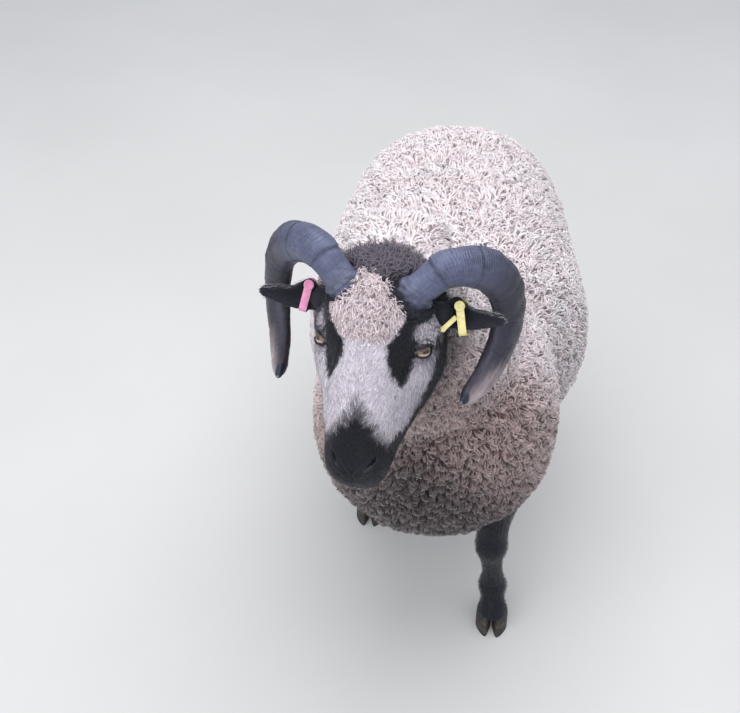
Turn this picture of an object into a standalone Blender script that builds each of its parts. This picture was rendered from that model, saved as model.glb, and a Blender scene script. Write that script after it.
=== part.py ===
"""A life-size Shetland ram with curled horns and ear tags, standing with its head raised.

Metres, +Z up. The ram faces -Y and its left side is +X. The origin lies on the floor under the
middle of its bounding box.
"""

import math
import random

import bmesh
import bpy
import numpy as np
from mathutils import Matrix, Vector
from mathutils.bvhtree import BVHTree

# Coat
COAT_RISE = 0.022  # from the woolly core to the tips of the fleece, half of the coat's depth
# Rise of the fleece and spacing of its clumps on each part
BODY_WOOL, LEG_WOOL, NECK_WOOL = (COAT_RISE, 0.095), (0.010, 0.063), (0.014, 0.065)
TAIL_WOOL, CROWN_WOOL = (0.012, 0.045), (0.011, 0.048)
LEG_WOOL_REACH, NECK_WOOL_REACH = 0.075, 0.120  # the wool grows to its full length over these
BARE_MARGIN = 0.012  # clumps keep this far from the bare head, and start this far below a wool line
LEG_WOOL_INNER = 0.060  # how far from the middle the short wool of the legs starts
TAIL_FROM, TAIL_HALF_WIDTH = 0.484, 0.050
SIDES_SPLIT = 0.150  # the forelegs' wool lies before this y, the hind legs' behind it
CROWN_FROM, CROWN_ABOVE, CROWN_HALF_WIDTH = -0.062, -0.045, 0.070  # in the head's frame
CLUMP_ROOT = 0.010  # how deep a clump is rooted below the surface that it grows from
CLUMP_SIDES = 6
CLUMP_OVERLAP = 0.70  # radius of a clump over the spacing between neighbours
CLUMP_LEAN = 0.16
CLUMP_PROFILE = ((0.42, 0.84), (0.84, 0.46))  # height and radius of its rings above the root
WIDEST_SPACING = 0.096
BODY_TRIES, CROWN_TRIES = 26000, 6000  # random spots tried for the clumps
SEED = 11

# Trunk, from the rump to the brisket: y, half width, height of the back, height of the belly.
# It narrows to a furrow behind the shoulders.
TRUNK = (
    (0.514, 0.004, 0.515, 0.505),
    (0.507, 0.074, 0.588, 0.434),
    (0.488, 0.130, 0.636, 0.370),
    (0.450, 0.172, 0.666, 0.322),
    (0.390, 0.200, 0.680, 0.290),
    (0.300, 0.214, 0.684, 0.270),
    (0.190, 0.228, 0.678, 0.256),
    (0.075, 0.234, 0.670, 0.250),
    (0.015, 0.212, 0.668, 0.252),
    (-0.040, 0.181, 0.668, 0.255),
    (-0.105, 0.192, 0.668, 0.261),
    (-0.180, 0.184, 0.650, 0.274),
    (-0.228, 0.152, 0.610, 0.292),
    (-0.256, 0.107, 0.556, 0.322),
    (-0.270, 0.056, 0.496, 0.366),
    (-0.274, 0.004, 0.436, 0.426),
)
TRUNK_SQUARENESS = 2.25
TRUNK_POINTS = 16
FLANK_BULGE = 0.010  # the left flank is fuller than the right
BULGE_AT, BULGE_REACH = 0.100, 0.110

# Neck, from inside the shoulders to the back of the head: x, y, z, half width, half depth
NECK = (
    (0.000, 0.020, 0.450, 0.150, 0.170),
    (-0.006, -0.070, 0.535, 0.156, 0.172),
    (-0.024, -0.155, 0.630, 0.136, 0.142),
    (-0.046, -0.230, 0.722, 0.113, 0.118),
    (-0.060, -0.290, 0.790, 0.097, 0.101),
    (-0.068, -0.360, 0.836, 0.087, 0.090),
)
NECK_POINTS = 14
NECK_CUT_AT, NECK_CUT_NORMAL = (-0.030, -0.150, 0.630), (-0.17, -0.65, 0.74)
THROAT, POLL = (-0.066, -0.350, 0.765), (-0.066, -0.308, 0.902)

# Legs, from the body down to the coronet: x, y, z, half width, half depth
FORE_LEG = (
    (0.100, -0.110, 0.520, 0.050, 0.080),
    (0.116, -0.112, 0.400, 0.054, 0.075),
    (0.120, -0.116, 0.335, 0.046, 0.056),
    (0.114, -0.132, 0.278, 0.030, 0.037),
    (0.111, -0.146, 0.226, 0.0235, 0.0265),
    (0.111, -0.152, 0.190, 0.0255, 0.0265),
    (0.113, -0.149, 0.160, 0.0185, 0.0205),
    (0.117, -0.146, 0.124, 0.0160, 0.0180),
    (0.119, -0.145, 0.098, 0.0175, 0.0190),
    (0.121, -0.146, 0.078, 0.0210, 0.0215),
    (0.123, -0.156, 0.055, 0.0190, 0.0190),
    (0.125, -0.168, 0.036, 0.0230, 0.0250),
    (0.126, -0.174, 0.018, 0.0260, 0.0300),
)
HIND_LEG = (
    (0.080, 0.350, 0.560, 0.060, 0.100),
    (0.112, 0.340, 0.450, 0.074, 0.112),
    (0.126, 0.330, 0.368, 0.060, 0.088),
    (0.124, 0.358, 0.308, 0.043, 0.058),
    (0.116, 0.398, 0.264, 0.028, 0.043),
    (0.110, 0.421, 0.236, 0.0230, 0.0350),
    (0.107, 0.423, 0.206, 0.0195, 0.0255),
    (0.106, 0.421, 0.155, 0.0160, 0.0185),
    (0.106, 0.420, 0.110, 0.0175, 0.0195),
    (0.106, 0.417, 0.086, 0.0215, 0.0220),
    (0.107, 0.405, 0.061, 0.0190, 0.0190),
    (0.108, 0.392, 0.038, 0.0230, 0.0250),
    (0.109, 0.385, 0.020, 0.0260, 0.0300),
)
LEG_POINTS, LEG_SQUARENESS = 10, 2.2
LEG_TOP = 0.50  # height above which a stride moves nothing
STRIDES = {  # how far each foot stands behind its table
    "fore_left": (FORE_LEG, 1, 0.000),
    "fore_right": (FORE_LEG, -1, 0.250),
    "hind_left": (HIND_LEG, 1, 0.000),
    "hind_right": (HIND_LEG, -1, -0.050),
}
WOOL_LINE = {"fore": 0.292, "hind": 0.285}  # the fleece ends here on a leg
DEWCLAW_RADIUS, DEWCLAW_STRETCH = 0.0065, 1.35
DEWCLAW_UP, DEWCLAW_BACK, DEWCLAW_APART = 0.066, 0.016, 0.011

# Outlines (y, z) that a leg's node takes out of the body, seen from the side
FORE_REGION = (
    (-0.250, -0.050), (-0.250, 0.180), (-0.222, 0.290), (-0.200, 0.350), (-0.160, 0.392),
    (-0.110, 0.400), (-0.066, 0.372), (-0.046, 0.300), (-0.060, 0.180), (-0.060, -0.050),
)
HIND_REGION = (
    (0.280, -0.050), (0.280, 0.200), (0.236, 0.290), (0.240, 0.380), (0.280, 0.440),
    (0.345, 0.462), (0.405, 0.444), (0.448, 0.390), (0.478, 0.300), (0.482, -0.050),
)
REGION_INNER, REGION_OUTER = 0.046, 0.300

# Tail: x, y, z, half width, half depth
TAIL = (
    (0.000, 0.475, 0.612, 0.030, 0.016),
    (0.000, 0.507, 0.580, 0.032, 0.016),
    (0.000, 0.520, 0.540, 0.033, 0.015),
    (0.000, 0.523, 0.500, 0.027, 0.013),
    (0.000, 0.521, 0.465, 0.016, 0.010),
    (0.000, 0.519, 0.442, 0.006, 0.005),
)
TAIL_POINTS = 8
TAIL_BOX = ((-0.060, 0.508, 0.405), (0.060, 0.620, 0.620))

# Hooves
CLAW_HALF_WIDTH, CLAW_LENGTH, CLAW_TOP = 0.0135, 0.058, 0.060
CLAW_SPLIT = 0.0012  # half of the cleft between the two claws
CORONET_FRONT, CORONET_BACK = 0.036, 0.022
TOE_REACH = 0.040  # from the middle of the coronet to the toe's tip
CLAW_RINGS = ((0.0, 1.0), (0.3, 0.985), (1.0, 0.80))  # share of the height, and width there
CLAW_POINTS = 12
CLAW_RAKE = 0.42  # how far the hoof's wall leans back as it rises
TOE_TAPER, TOE_INTURN = 0.42, 0.004

# Head, in its own frame: x to the left, f along the face to the nose, u out of the face.
# Its origin lies midway between the eyes.
EYES_AT = (-0.066, -0.419, 0.838)
HEAD_PITCH, HEAD_YAW, HEAD_ROLL = math.radians(43.1), math.radians(-6.9), math.radians(-1.3)
# f, half width, u of the top, u of the bottom, u of the widest, roundness of the top
HEAD = (
    (-0.160, 0.042, -0.066, -0.110, -0.086, 0.85),
    (-0.125, 0.058, -0.030, -0.120, -0.080, 0.86),
    (-0.088, 0.067, 0.005, -0.118, -0.070, 0.88),
    (-0.048, 0.0715, 0.028, -0.114, -0.066, 0.90),
    (-0.010, 0.0735, 0.037, -0.110, -0.066, 0.88),
    (0.020, 0.0715, 0.037, -0.104, -0.068, 0.80),
    (0.050, 0.0640, 0.032, -0.094, -0.066, 0.74),
    (0.080, 0.0530, 0.025, -0.082, -0.054, 0.78),
    (0.108, 0.0425, 0.016, -0.070, -0.038, 0.84),
    (0.132, 0.0385, 0.006, -0.063, -0.030, 0.90),
    (0.150, 0.0320, -0.005, -0.060, -0.030, 0.96),
    (0.161, 0.0215, -0.015, -0.052, -0.033, 1.00),
    (0.166, 0.0040, -0.030, -0.038, -0.034, 1.00),
)
HEAD_POINTS = 20
HEAD_SQUARENESS = 2.35
ROOF_CURVE, JAW_NARROWING, JAW_CURVE = 1.2, 0.12, 1.5
# Where the head is pushed out or in: x, f, u, outward distance, reach. Each has a mirror twin.
HEAD_DABS = (
    (0.058, -0.016, 0.020, 0.0065, 0.020),  # brow
    (0.072, -0.026, -0.018, 0.0095, 0.020),  # outer rim of the eye's socket
    (0.044, 0.026, 0.006, -0.0050, 0.016),  # hollow before the eye
    (0.062, 0.024, -0.026, 0.0040, 0.020),  # cheekbone
    (0.068, 0.000, -0.066, 0.0050, 0.030),  # jaw muscle
    (0.050, 0.062, -0.050, -0.0030, 0.022),  # hollow of the cheek
    (0.026, 0.146, -0.010, 0.0035, 0.013),  # wing of the nostril
    (0.000, 0.140, -0.066, 0.0040, 0.018),  # chin
    (0.000, 0.164, -0.008, -0.0025, 0.010),  # between the nostrils
)
EYE_RADIUS = 0.0135
EYE_CENTRE, EYE_OUTWARD = (0.0543, 0.000, -0.009), (0.78, 0.12, 0.61)
EYE_CORNER_LINE = (0.59, -0.42, -0.68)  # from the inner corner to the outer one
EYE_OPENING = (0.030, 0.0150)  # length and height between the lids
LID_CUT = ((0.004, 0.6), (0.030, 1.25))  # out from the eye's middle, and share of the opening there
LID_CUT_POINTS, LID_CUT_POINTEDNESS = 16, 0.25
LID_THICKNESS = 0.0026
NOSTRIL_AT, NOSTRIL_SIZE = (0.0185, 0.1585, -0.0205), (0.0065, 0.0040, 0.0028)
NOSTRIL_TURN = math.radians(38)
MOUTH = (  # f and u of the line between the lips, from its corner to the front
    (0.098, -0.048), (0.118, -0.0475), (0.138, -0.0455), (0.154, -0.0435), (0.170, -0.0425),
)
MOUTH_HALF_GAP, MOUTH_DEPTH, MOUTH_OUTSIDE = 0.0011, 0.007, 0.006
MOUTH_LEAN, MOUTH_NARROWING = 0.004, 0.4  # the wedge leans forwards and is thinner inside
JAW_AT_MOUTH = 0.93  # share of the head's half width at the height of the lips

# Horns, in the head's frame: x, f, u of the centreline, half width across and along the curl
HORN = (
    (0.028, -0.046, -0.004, 0.0215, 0.0195),
    (0.037, -0.056, 0.004, 0.0220, 0.0200),
    (0.0445, -0.0645, 0.009, 0.0210, 0.0192),
    (0.0525, -0.0725, 0.0118, 0.0192, 0.0174),
    (0.077, -0.0945, 0.014, 0.0226, 0.0198),
    (0.112, -0.106, -0.012, 0.0250, 0.0200),
    (0.137, -0.097, -0.048, 0.0246, 0.0175),
    (0.146, -0.072, -0.079, 0.0236, 0.0155),
    (0.143, -0.038, -0.092, 0.0220, 0.0140),
    (0.134, -0.005, -0.088, 0.0194, 0.0124),
    (0.124, 0.022, -0.069, 0.0158, 0.0104),
    (0.115, 0.040, -0.045, 0.0116, 0.0080),
    (0.111, 0.049, -0.030, 0.0050, 0.0036),
)
HORN_RISE = {"left": 0.0015, "right": -0.0045}  # how far the arch of each is shifted along the face
HORN_CURL_CENTRE = (0.095, -0.030, -0.030)
HORN_POINTS = 10

# Ears, in the head's frame
EAR_ROOT, EAR_TIP = (0.0735, -0.047, -0.0225), (0.148, -0.047, -0.016)
EAR_FACING = (0.12, 0.30, 0.95)  # the way that the cup opens
# share of the ear's length, width above and below its middle line, depth of the cup
EAR = (
    (0.000, 0.0120, 0.0130, 0.0095),
    (0.120, 0.0195, 0.0146, 0.0112),
    (0.220, 0.0222, 0.0150, 0.0118),
    (0.340, 0.0168, 0.0154, 0.0108),
    (0.480, 0.0112, 0.0146, 0.0085),
    (0.680, 0.0094, 0.0112, 0.0050),
    (0.850, 0.0080, 0.0076, 0.0026),
    (0.950, 0.0058, 0.0054, 0.0012),
    (1.000, 0.0016, 0.0016, 0.0005),
)
EAR_THICKNESS = 0.0030
RIM_THINNING, TIP_THINNING = 0.45, 0.40  # shares of the thickness lost at the rim and at the tip
# reach along the ear and radius of the rounded root that sits in the head
EAR_BUTT = ((-0.020, 0.0095), (-0.008, 0.0122), (0.004, 0.0120), (0.011, 0.0050))
EAR_BUTT_BACK, EAR_BUTT_TALL, EAR_BUTT_FLAT = 0.004, 1.1, 0.8
EAR_STEPS, EAR_ACROSS = 8, 6
ROUND_POINTS = 10  # corners of ear roots and pins

# Ear tags: strips folded round the lower edge of each ear
TAG_WIDTH, TAG_THICKNESS, TAG_BUTTON_RADIUS = 0.0095, 0.0016, 0.0064
TAG_PIN_RADIUS, TAG_CORNER = 0.0020, 0.0035
TAG_FRONT, TAG_BACK = 0.0022, -0.0158  # the two arms, out of the cup's rim and behind the ear
TAG_HEAD_SUNK = 0.4  # share of the strip's thickness that a pin's round head reaches into it
# share of the ear's length, top and bottom across the ear, slant towards the tip
TAGS = {"right": (0.205, -0.0150, 0.0178, 0.0048), "left": (0.270, -0.0120, 0.0225, 0.0067)}
# The second tag of the left ear, a short strip in front of it: share of the ear's length,
# distance across it and out of it, at the start, at the pin and at the round end
SMALL_TAG = ((0.225, 0.0015, 0.0002), (0.165, 0.0065, 0.0025), (0.050, 0.0165, 0.0070))
SMALL_TAG_WIDTH, SMALL_TAG_BUTTON, SMALL_TAG_PIN = 0.0058, 0.0036, 0.0013
SMALL_TAG_BACK, SMALL_TAG_HEAD = -0.0152, 0.0029  # its round head behind the ear

HOLE_REACH = 0.020  # how far a tag's hole is cut to each side of the ear's middle
CUT_GAP = 0.0003
ORIGIN_SHIFT = (-0.003, -0.014, 0)  # brings the middle of the bounding box over the origin
WOOL, FACE_HAIR, LEG_HAIR = (0.74, 0.64, 0.58), (0.42, 0.42, 0.46), (0.035, 0.032, 0.036)
HORN_GREY, EAR_BLACK, IRIS_AMBER = (0.06, 0.062, 0.075), (0.02, 0.02, 0.023), (0.45, 0.25, 0.10)
TAG_PINK, TAG_YELLOW, HOOF_DARK = (0.85, 0.30, 0.50), (0.85, 0.78, 0.25), (0.05, 0.045, 0.04)

HALF_GAP = CUT_GAP / 2


def clear_scene():
    for obj in list(bpy.data.objects):
        bpy.data.objects.remove(obj)


def collection(name):
    made = bpy.data.collections.new(name)
    bpy.context.scene.collection.children.link(made)
    return made


def material(name, colour, roughness):
    made = bpy.data.materials.get(name) or bpy.data.materials.new(name)
    made.use_nodes = True
    shader = made.node_tree.nodes["Principled BSDF"]
    shader.inputs["Base Color"].default_value = (*colour, 1)
    shader.inputs["Roughness"].default_value = roughness
    shader.inputs["Metallic"].default_value = 0
    return made


def head_axes():
    """The head's x, f and u directions: pitched down, turned to its right, then rolled."""
    down = Vector((0, -math.cos(HEAD_PITCH), -math.sin(HEAD_PITCH)))
    out = Vector((0, -math.sin(HEAD_PITCH), math.cos(HEAD_PITCH)))
    turn = Matrix.Rotation(HEAD_YAW, 3, "Z")
    side, down, out = turn @ Vector((1, 0, 0)), turn @ down, turn @ out
    roll_cos, roll_sin = math.cos(HEAD_ROLL), math.sin(HEAD_ROLL)
    return side * roll_cos + down * roll_sin, down * roll_cos - side * roll_sin, out


HEAD_AXES = head_axes()


def from_head(point, mirror=1):
    """A place in the head's frame, as a place in the body's."""
    side, down, out = HEAD_AXES
    return Vector(EYES_AT) + side * (point[0] * mirror) + down * point[1] + out * point[2]


def head_way(way, mirror=1):
    return (from_head(way, mirror) - Vector(EYES_AT)).normalized()


def keyed(table, at):
    """Smooth values between the rows of a table, whose first column says where each row holds."""
    rows = np.array(table, float)
    t, values = rows[:, 0], rows[:, 1:]
    slope = np.gradient(values, t, axis=0)
    at = np.clip(np.atleast_1d(np.array(at, float)), t[0], t[-1])
    i = np.clip(np.searchsorted(t, at) - 1, 0, len(t) - 2)
    span = (t[i + 1] - t[i])[:, None]
    u = (at - t[i])[:, None] / span
    start = (2 * u**3 - 3 * u**2 + 1) * values[i] + (u**3 - 2 * u**2 + u) * span * slope[i]
    end = (3 * u**2 - 2 * u**3) * values[i + 1] + (u**3 - u**2) * span * slope[i + 1]
    return start + end


def stations(table, steps):
    """The rows of a table with smooth rows between them, steps to each gap."""
    numbered = [(i, *row) for i, row in enumerate(table)]
    return keyed(numbered, np.linspace(0, len(table) - 1, (len(table) - 1) * steps + 1))


def mesh_object(name, bm, where):
    bmesh.ops.recalc_face_normals(bm, faces=bm.faces)
    mesh = bpy.data.meshes.new(name)
    bm.to_mesh(mesh)
    bm.free()
    obj = bpy.data.objects.new(name, mesh)
    where.objects.link(obj)
    return obj


def loft(name, rings, where):
    """A closed mesh through rings of points, with a flat face at each end."""
    bm = bmesh.new()
    loops = [[bm.verts.new(p) for p in ring] for ring in rings]
    for a, b in zip(loops, loops[1:]):
        for i in range(len(a)):
            bm.faces.new((a[i], a[i - 1], b[i - 1], b[i]))
    bm.faces.new(loops[0])
    bm.faces.new(loops[-1])
    return mesh_object(name, bm, where)


def oval(centre, side, up, width, rise, fall, count, squareness=2.0):
    """A ring of points round a centre, with its own height above and below the middle."""
    points = []
    for i in range(count):
        angle = 2 * math.pi * (i + 0.5) / count
        across, along = math.cos(angle), math.sin(angle)
        x = math.copysign(abs(across) ** (2 / squareness), across) * width
        z = math.copysign(abs(along) ** (2 / squareness), along) * (rise if along > 0 else fall)
        points.append(centre + side * x + up * z)
    return points


def tube_rings(table, steps, count, reference, squareness=2.0):
    """Rings across a smooth path of rows x, y, z, half width and half depth."""
    rows = stations(table, steps)
    tangents = np.gradient(rows[:, :3], axis=0)
    rings = []
    for row, way in zip(rows, tangents):
        tangent, centre = Vector(way).normalized(), Vector(row[:3])
        side = reference(centre) if callable(reference) else Vector(reference)
        side = (side - tangent * side.dot(tangent)).normalized()
        up = tangent.cross(side)
        rings.append(oval(centre, side, up, row[3], row[4], row[4], count, squareness))
    return rings


def trunk_rings():
    rings = []
    for y, width, top, bottom in TRUNK:
        middle = (top + bottom) / 2
        ring = oval(
            Vector((0, y, middle)), Vector((1, 0, 0)), Vector((0, 0, 1)),
            width, top - middle, middle - bottom, TRUNK_POINTS, TRUNK_SQUARENESS,
        )
        bulge = FLANK_BULGE * math.exp(-(((y - BULGE_AT) / BULGE_REACH) ** 2))
        for point in ring:
            point.x += bulge * max(0.0, point.x / max(width, 0.01))
        rings.append(ring)
    return rings


def leg_table(leg):
    """A leg's rows, on its own side and shifted by its stride."""
    table, side, stride = STRIDES[leg]
    return [
        (x * side, y + stride * max(0.0, 1 - z / LEG_TOP), z, width, depth)
        for x, y, z, width, depth in table
    ]


def sink(obj, depth):
    """Moves a smooth closed surface inwards by a depth."""
    drop = obj.modifiers.new("sink", "DISPLACE")
    drop.strength = -depth
    drop.mid_level = 0
    apply_modifiers(obj)


def apply_modifiers(obj):
    """Keeps the mesh as its modifiers leave it."""
    graph = bpy.context.evaluated_depsgraph_get()
    mesh = bpy.data.meshes.new_from_object(obj.evaluated_get(graph))
    obj.modifiers.clear()
    old, obj.data = obj.data, mesh
    bpy.data.meshes.remove(old)


def boolean(obj, operation, other=None, group=None):
    """Joins, cuts or crosses an object with another one or with a collection, and applies it."""
    step = obj.modifiers.new(operation.lower(), "BOOLEAN")
    step.operation = operation
    step.solver = "MANIFOLD"
    if group:
        step.operand_type = "COLLECTION"
        step.collection = group
    else:
        step.object = other
    apply_modifiers(obj)
    for used in list(group.objects) if group else [other]:
        bpy.data.objects.remove(used)


def keep_largest(obj):
    """Drops every closed surface of an object but the largest."""
    bm = bmesh.new()
    bm.from_mesh(obj.data)
    left, shells = set(bm.faces), []
    while left:
        shell, front = set(), [next(iter(left))]
        while front:
            face = front.pop()
            if face in shell:
                continue
            shell.add(face)
            front += [f for edge in face.edges for f in edge.link_faces if f not in shell]
        shells.append(shell)
        left -= shell
    kept = max(shells, key=lambda shell: sum(face.calc_area() for face in shell))
    loose = [face for face in bm.faces if face not in kept]
    bmesh.ops.delete(bm, geom=loose, context="FACES")
    bm.to_mesh(obj.data)
    bm.free()


def cut_flat(obj, point, normal):
    """Keeps what lies on the normal's side of a plane, half a gap away from it."""
    point, normal = Vector(point), Vector(normal).normalized()
    bm = bmesh.new()
    bm.from_mesh(obj.data)
    everything = bm.verts[:] + bm.edges[:] + bm.faces[:]
    cut = bmesh.ops.bisect_plane(
        bm, geom=everything, plane_co=point + normal * HALF_GAP, plane_no=normal, clear_inner=True
    )
    rim = [item for item in cut["geom_cut"] if isinstance(item, bmesh.types.BMEdge)]
    bmesh.ops.triangle_fill(bm, edges=rim, use_beauty=True)
    bmesh.ops.recalc_face_normals(bm, faces=bm.faces)
    bm.to_mesh(obj.data)
    bm.free()


def ball(name, centre, radius, where, fineness=(12, 8)):
    bm = bmesh.new()
    place = Matrix.Translation(centre)
    bmesh.ops.create_uvsphere(
        bm, u_segments=fineness[0], v_segments=fineness[1], radius=radius, matrix=place
    )
    return mesh_object(name, bm, where)


def prism(name, outline, start, end, where):
    """A closed block of a (y, z) outline between two places along x."""
    bm = bmesh.new()
    sides = [[bm.verts.new((x, y, z)) for y, z in outline] for x in (start, end)]
    for i in range(len(outline)):
        bm.faces.new((sides[0][i], sides[0][i - 1], sides[1][i - 1], sides[1][i]))
    bm.faces.new(sides[0])
    bm.faces.new(sides[1])
    return mesh_object(name, bm, where)


def widened(outline, by):
    """A convex outline moved outwards by a distance."""
    points = [Vector(p) for p in outline]
    turn = sum(a.x * b.y - b.x * a.y for a, b in zip(points, points[1:] + points[:1]))
    made = []
    for i, here in enumerate(points):
        before = (here - points[i - 1]).normalized()
        after = (points[(i + 1) % len(points)] - here).normalized()
        normals = [Vector((d.y, -d.x)) * math.copysign(1, turn) for d in (before, after)]
        middle = (normals[0] + normals[1]).normalized()
        made.append(here + middle * (by / max(0.3, middle.dot(normals[0]))))
    return made


def leg_region(name, leg, grow, where):
    """The block of space whose flesh belongs to a leg."""
    side, stride = STRIDES[leg][1], STRIDES[leg][2]
    outline = FORE_REGION if leg.startswith("fore") else HIND_REGION
    shifted = [(y + stride * max(0.0, 1 - z / LEG_TOP), z) for y, z in outline]
    outline = widened(shifted, grow) if grow else shifted
    return prism(name, outline, side * (REGION_INNER - grow), side * REGION_OUTER, where)


def tail_region(name, grow, where):
    low, high = TAIL_BOX
    outline = [
        (low[1] - grow, low[2] - grow), (high[1], low[2] - grow),
        (high[1], high[2] + grow), (low[1] - grow, high[2] + grow),
    ]
    return prism(name, outline, low[0] - grow, high[0] + grow, where)


def head_plane():
    """A point and the normal, towards the head, of the plane between head and neck."""
    throat, poll = Vector(THROAT), Vector(POLL)
    normal = (poll - throat).cross(Vector((1, 0, 0))).normalized()
    return throat, normal if normal.y < 0 else -normal


def between(first, last, share):
    return tuple(a + (b - a) * share for a, b in zip(first, last))


def coat_at(point):
    """How high the fleece stands here, and how far apart its clumps are: nothing where it's bare."""
    x, y, z = point
    above_line = z - WOOL_LINE["fore" if y < SIDES_SPLIT else "hind"]
    if above_line < -BARE_MARGIN:
        return None
    if y > TAIL_FROM and abs(x) < TAIL_HALF_WIDTH:
        return TAIL_WOOL
    if above_line < LEG_WOOL_REACH and abs(x) > LEG_WOOL_INNER:
        share = (above_line + BARE_MARGIN) / (LEG_WOOL_REACH + BARE_MARGIN)
        return between(LEG_WOOL, BODY_WOOL, share)
    throat, towards_head = head_plane()
    before_head = (throat - point).dot(towards_head)
    if before_head < BARE_MARGIN:
        return None
    return between(NECK_WOOL, BODY_WOOL, min(1.0, before_head / NECK_WOOL_REACH))


def crown_coat(point):
    """Wool on the poll, behind the horns."""
    local = point - Vector(EYES_AT)
    x, f, u = (local.dot(axis) for axis in HEAD_AXES)
    on_crown = f < CROWN_FROM and u > CROWN_ABOVE and abs(x) < CROWN_HALF_WIDTH
    return CROWN_WOOL if on_crown else None


def surface_spots(obj, coat, seed, tries):
    """Random places on a surface, each with its normal, kept apart by the coat's spacing."""
    bm = bmesh.new()
    bm.from_mesh(obj.data)
    bmesh.ops.triangulate(bm, faces=bm.faces)
    faces = [(f.verts[0].co.copy(), f.verts[1].co.copy(), f.verts[2].co.copy(), f.normal.copy())
             for f in bm.faces]
    areas = [f.calc_area() for f in bm.faces]
    bm.free()
    draw = random.Random(seed)
    spots, grid = [], {}
    for face in draw.choices(range(len(faces)), weights=areas, k=tries):
        a, b, c, normal = faces[face]
        u, v = sorted((draw.random(), draw.random()))
        point = a * u + b * (v - u) + c * (1 - v)
        here = coat(point)
        if here is None:
            continue
        rise, spacing = here
        home = tuple(math.floor(k / WIDEST_SPACING) for k in point)
        near = [
            spot for i in (-1, 0, 1) for j in (-1, 0, 1) for k in (-1, 0, 1)
            for spot in grid.get((home[0] + i, home[1] + j, home[2] + k), ())
        ]
        if all((point - spot[0]).length > (spacing + spot[3]) / 2 for spot in near):
            spot = (point, normal, rise, spacing)
            spots.append(spot)
            grid.setdefault(home, []).append(spot)
    return spots


def smooth_normal(tree, point, normal, reach=0.02):
    """The surface's direction averaged over its neighbourhood, so that clumps stand evenly."""
    found = [way for _, way, _, _ in tree.find_nearest_range(point, reach)]
    total = sum(found, normal.copy())
    return total.normalized() if total.length > 0.1 else normal


def clump(name, point, normal, rise, radius, draw, where):
    """A rounded clump of wool: a low dome of a few sides, rooted below the surface."""
    height = rise * draw.uniform(0.92, 1.10)
    radius *= draw.uniform(0.94, 1.08)
    lean = [draw.uniform(-CLUMP_LEAN, CLUMP_LEAN) for _ in range(2)]
    spin = Matrix.Rotation(draw.uniform(0, math.pi), 4, "Z")
    place = Matrix.Translation(point) @ normal.to_track_quat("Z", "Y").to_matrix().to_4x4() @ spin
    rings = []
    for level, wide in ((-CLUMP_ROOT / height, 1.0), *CLUMP_PROFILE):
        ring = []
        for i in range(CLUMP_SIDES):
            angle = 2 * math.pi * i / CLUMP_SIDES
            reach = radius * wide * draw.uniform(0.95, 1.05)
            up = level * height
            ring.append(place @ Vector((
                math.cos(angle) * reach + lean[0] * max(up, 0),
                math.sin(angle) * reach + lean[1] * max(up, 0), up,
            )))
        rings.append(ring)
    bm = bmesh.new()
    loops = [[bm.verts.new(p) for p in ring] for ring in rings]
    for a, b in zip(loops, loops[1:]):
        for i in range(CLUMP_SIDES):
            bm.faces.new((a[i], a[i - 1], b[i - 1], b[i]))
    bm.faces.new(loops[0])
    crown = bm.verts.new(place @ Vector((lean[0] * height, lean[1] * height, height)))
    for i in range(CLUMP_SIDES):
        bm.faces.new((loops[-1][i], loops[-1][i - 1], crown))
    return mesh_object(name, bm, where)


def grow_clumps(obj, coat, seed, where, tries):
    """Sets clumps all over a surface and joins them to it."""
    draw = random.Random(seed)
    tree = BVHTree.FromObject(obj, bpy.context.evaluated_depsgraph_get())
    for i, (point, normal, rise, spacing) in enumerate(surface_spots(obj, coat, seed, tries)):
        facing = smooth_normal(tree, point, normal)
        clump(f"clump_{i}", point, facing, rise, spacing * CLUMP_OVERLAP, draw, where)
    boolean(obj, "UNION", group=where)


def coronet_plane(leg):
    """A point and the upward normal of the slanting plane between a leg and its hoof."""
    x, y = leg_table(leg)[-2][:2]
    slope = (CORONET_FRONT - CORONET_BACK) / CLAW_LENGTH
    normal = Vector((0, slope, 1)).normalized()
    return Vector((x, y, (CORONET_FRONT + CORONET_BACK) / 2)), normal


def leg_shape(leg, where):
    """A leg from inside the body down to its coronet, with its dewclaws."""
    obj = loft(leg, tube_rings(leg_table(leg), 1, LEG_POINTS, (1, 0, 0), LEG_SQUARENESS), where)
    fetlock = leg_table(leg)[-4]
    for apart in (-1, 1):
        spot = Vector((fetlock[0] + apart * DEWCLAW_APART, fetlock[1] + DEWCLAW_BACK, DEWCLAW_UP))
        bump = ball("dewclaw", spot, DEWCLAW_RADIUS, where, (6, 5))
        for vert in bump.data.vertices:
            vert.co.z = spot.z + (vert.co.z - spot.z) * DEWCLAW_STRETCH
        boolean(obj, "UNION", bump)
    point, normal = coronet_plane(leg)
    cut_flat(obj, point, normal)
    return obj


def claw(leg, apart, nodes):
    """One of a hoof's two claws: flat below, pointed in front and cut off at the coronet."""
    point, normal = coronet_plane(leg)
    rings = []
    for share, shrink in CLAW_RINGS:
        height = CLAW_TOP * share
        ring = []
        for i in range(CLAW_POINTS):
            angle = 2 * math.pi * i / CLAW_POINTS
            along, across = math.cos(angle), math.sin(angle)
            toe = max(0.0, along)
            wide = CLAW_HALF_WIDTH * (1 - TOE_TAPER * toe**1.5) * shrink
            x = CLAW_SPLIT + CLAW_HALF_WIDTH + across * wide - TOE_INTURN * toe**2
            y = TOE_REACH - CLAW_LENGTH / 2 * (1 - along * shrink) - CLAW_RAKE * height
            ring.append(Vector((point.x + apart * max(x, CLAW_SPLIT), point.y - y, height)))
        rings.append(ring)
    side = "outer" if apart * point.x > 0 else "inner"
    obj = loft(f"hoof_{leg}_{side}", rings, nodes)
    cut_flat(obj, point, -normal)
    return obj


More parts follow.
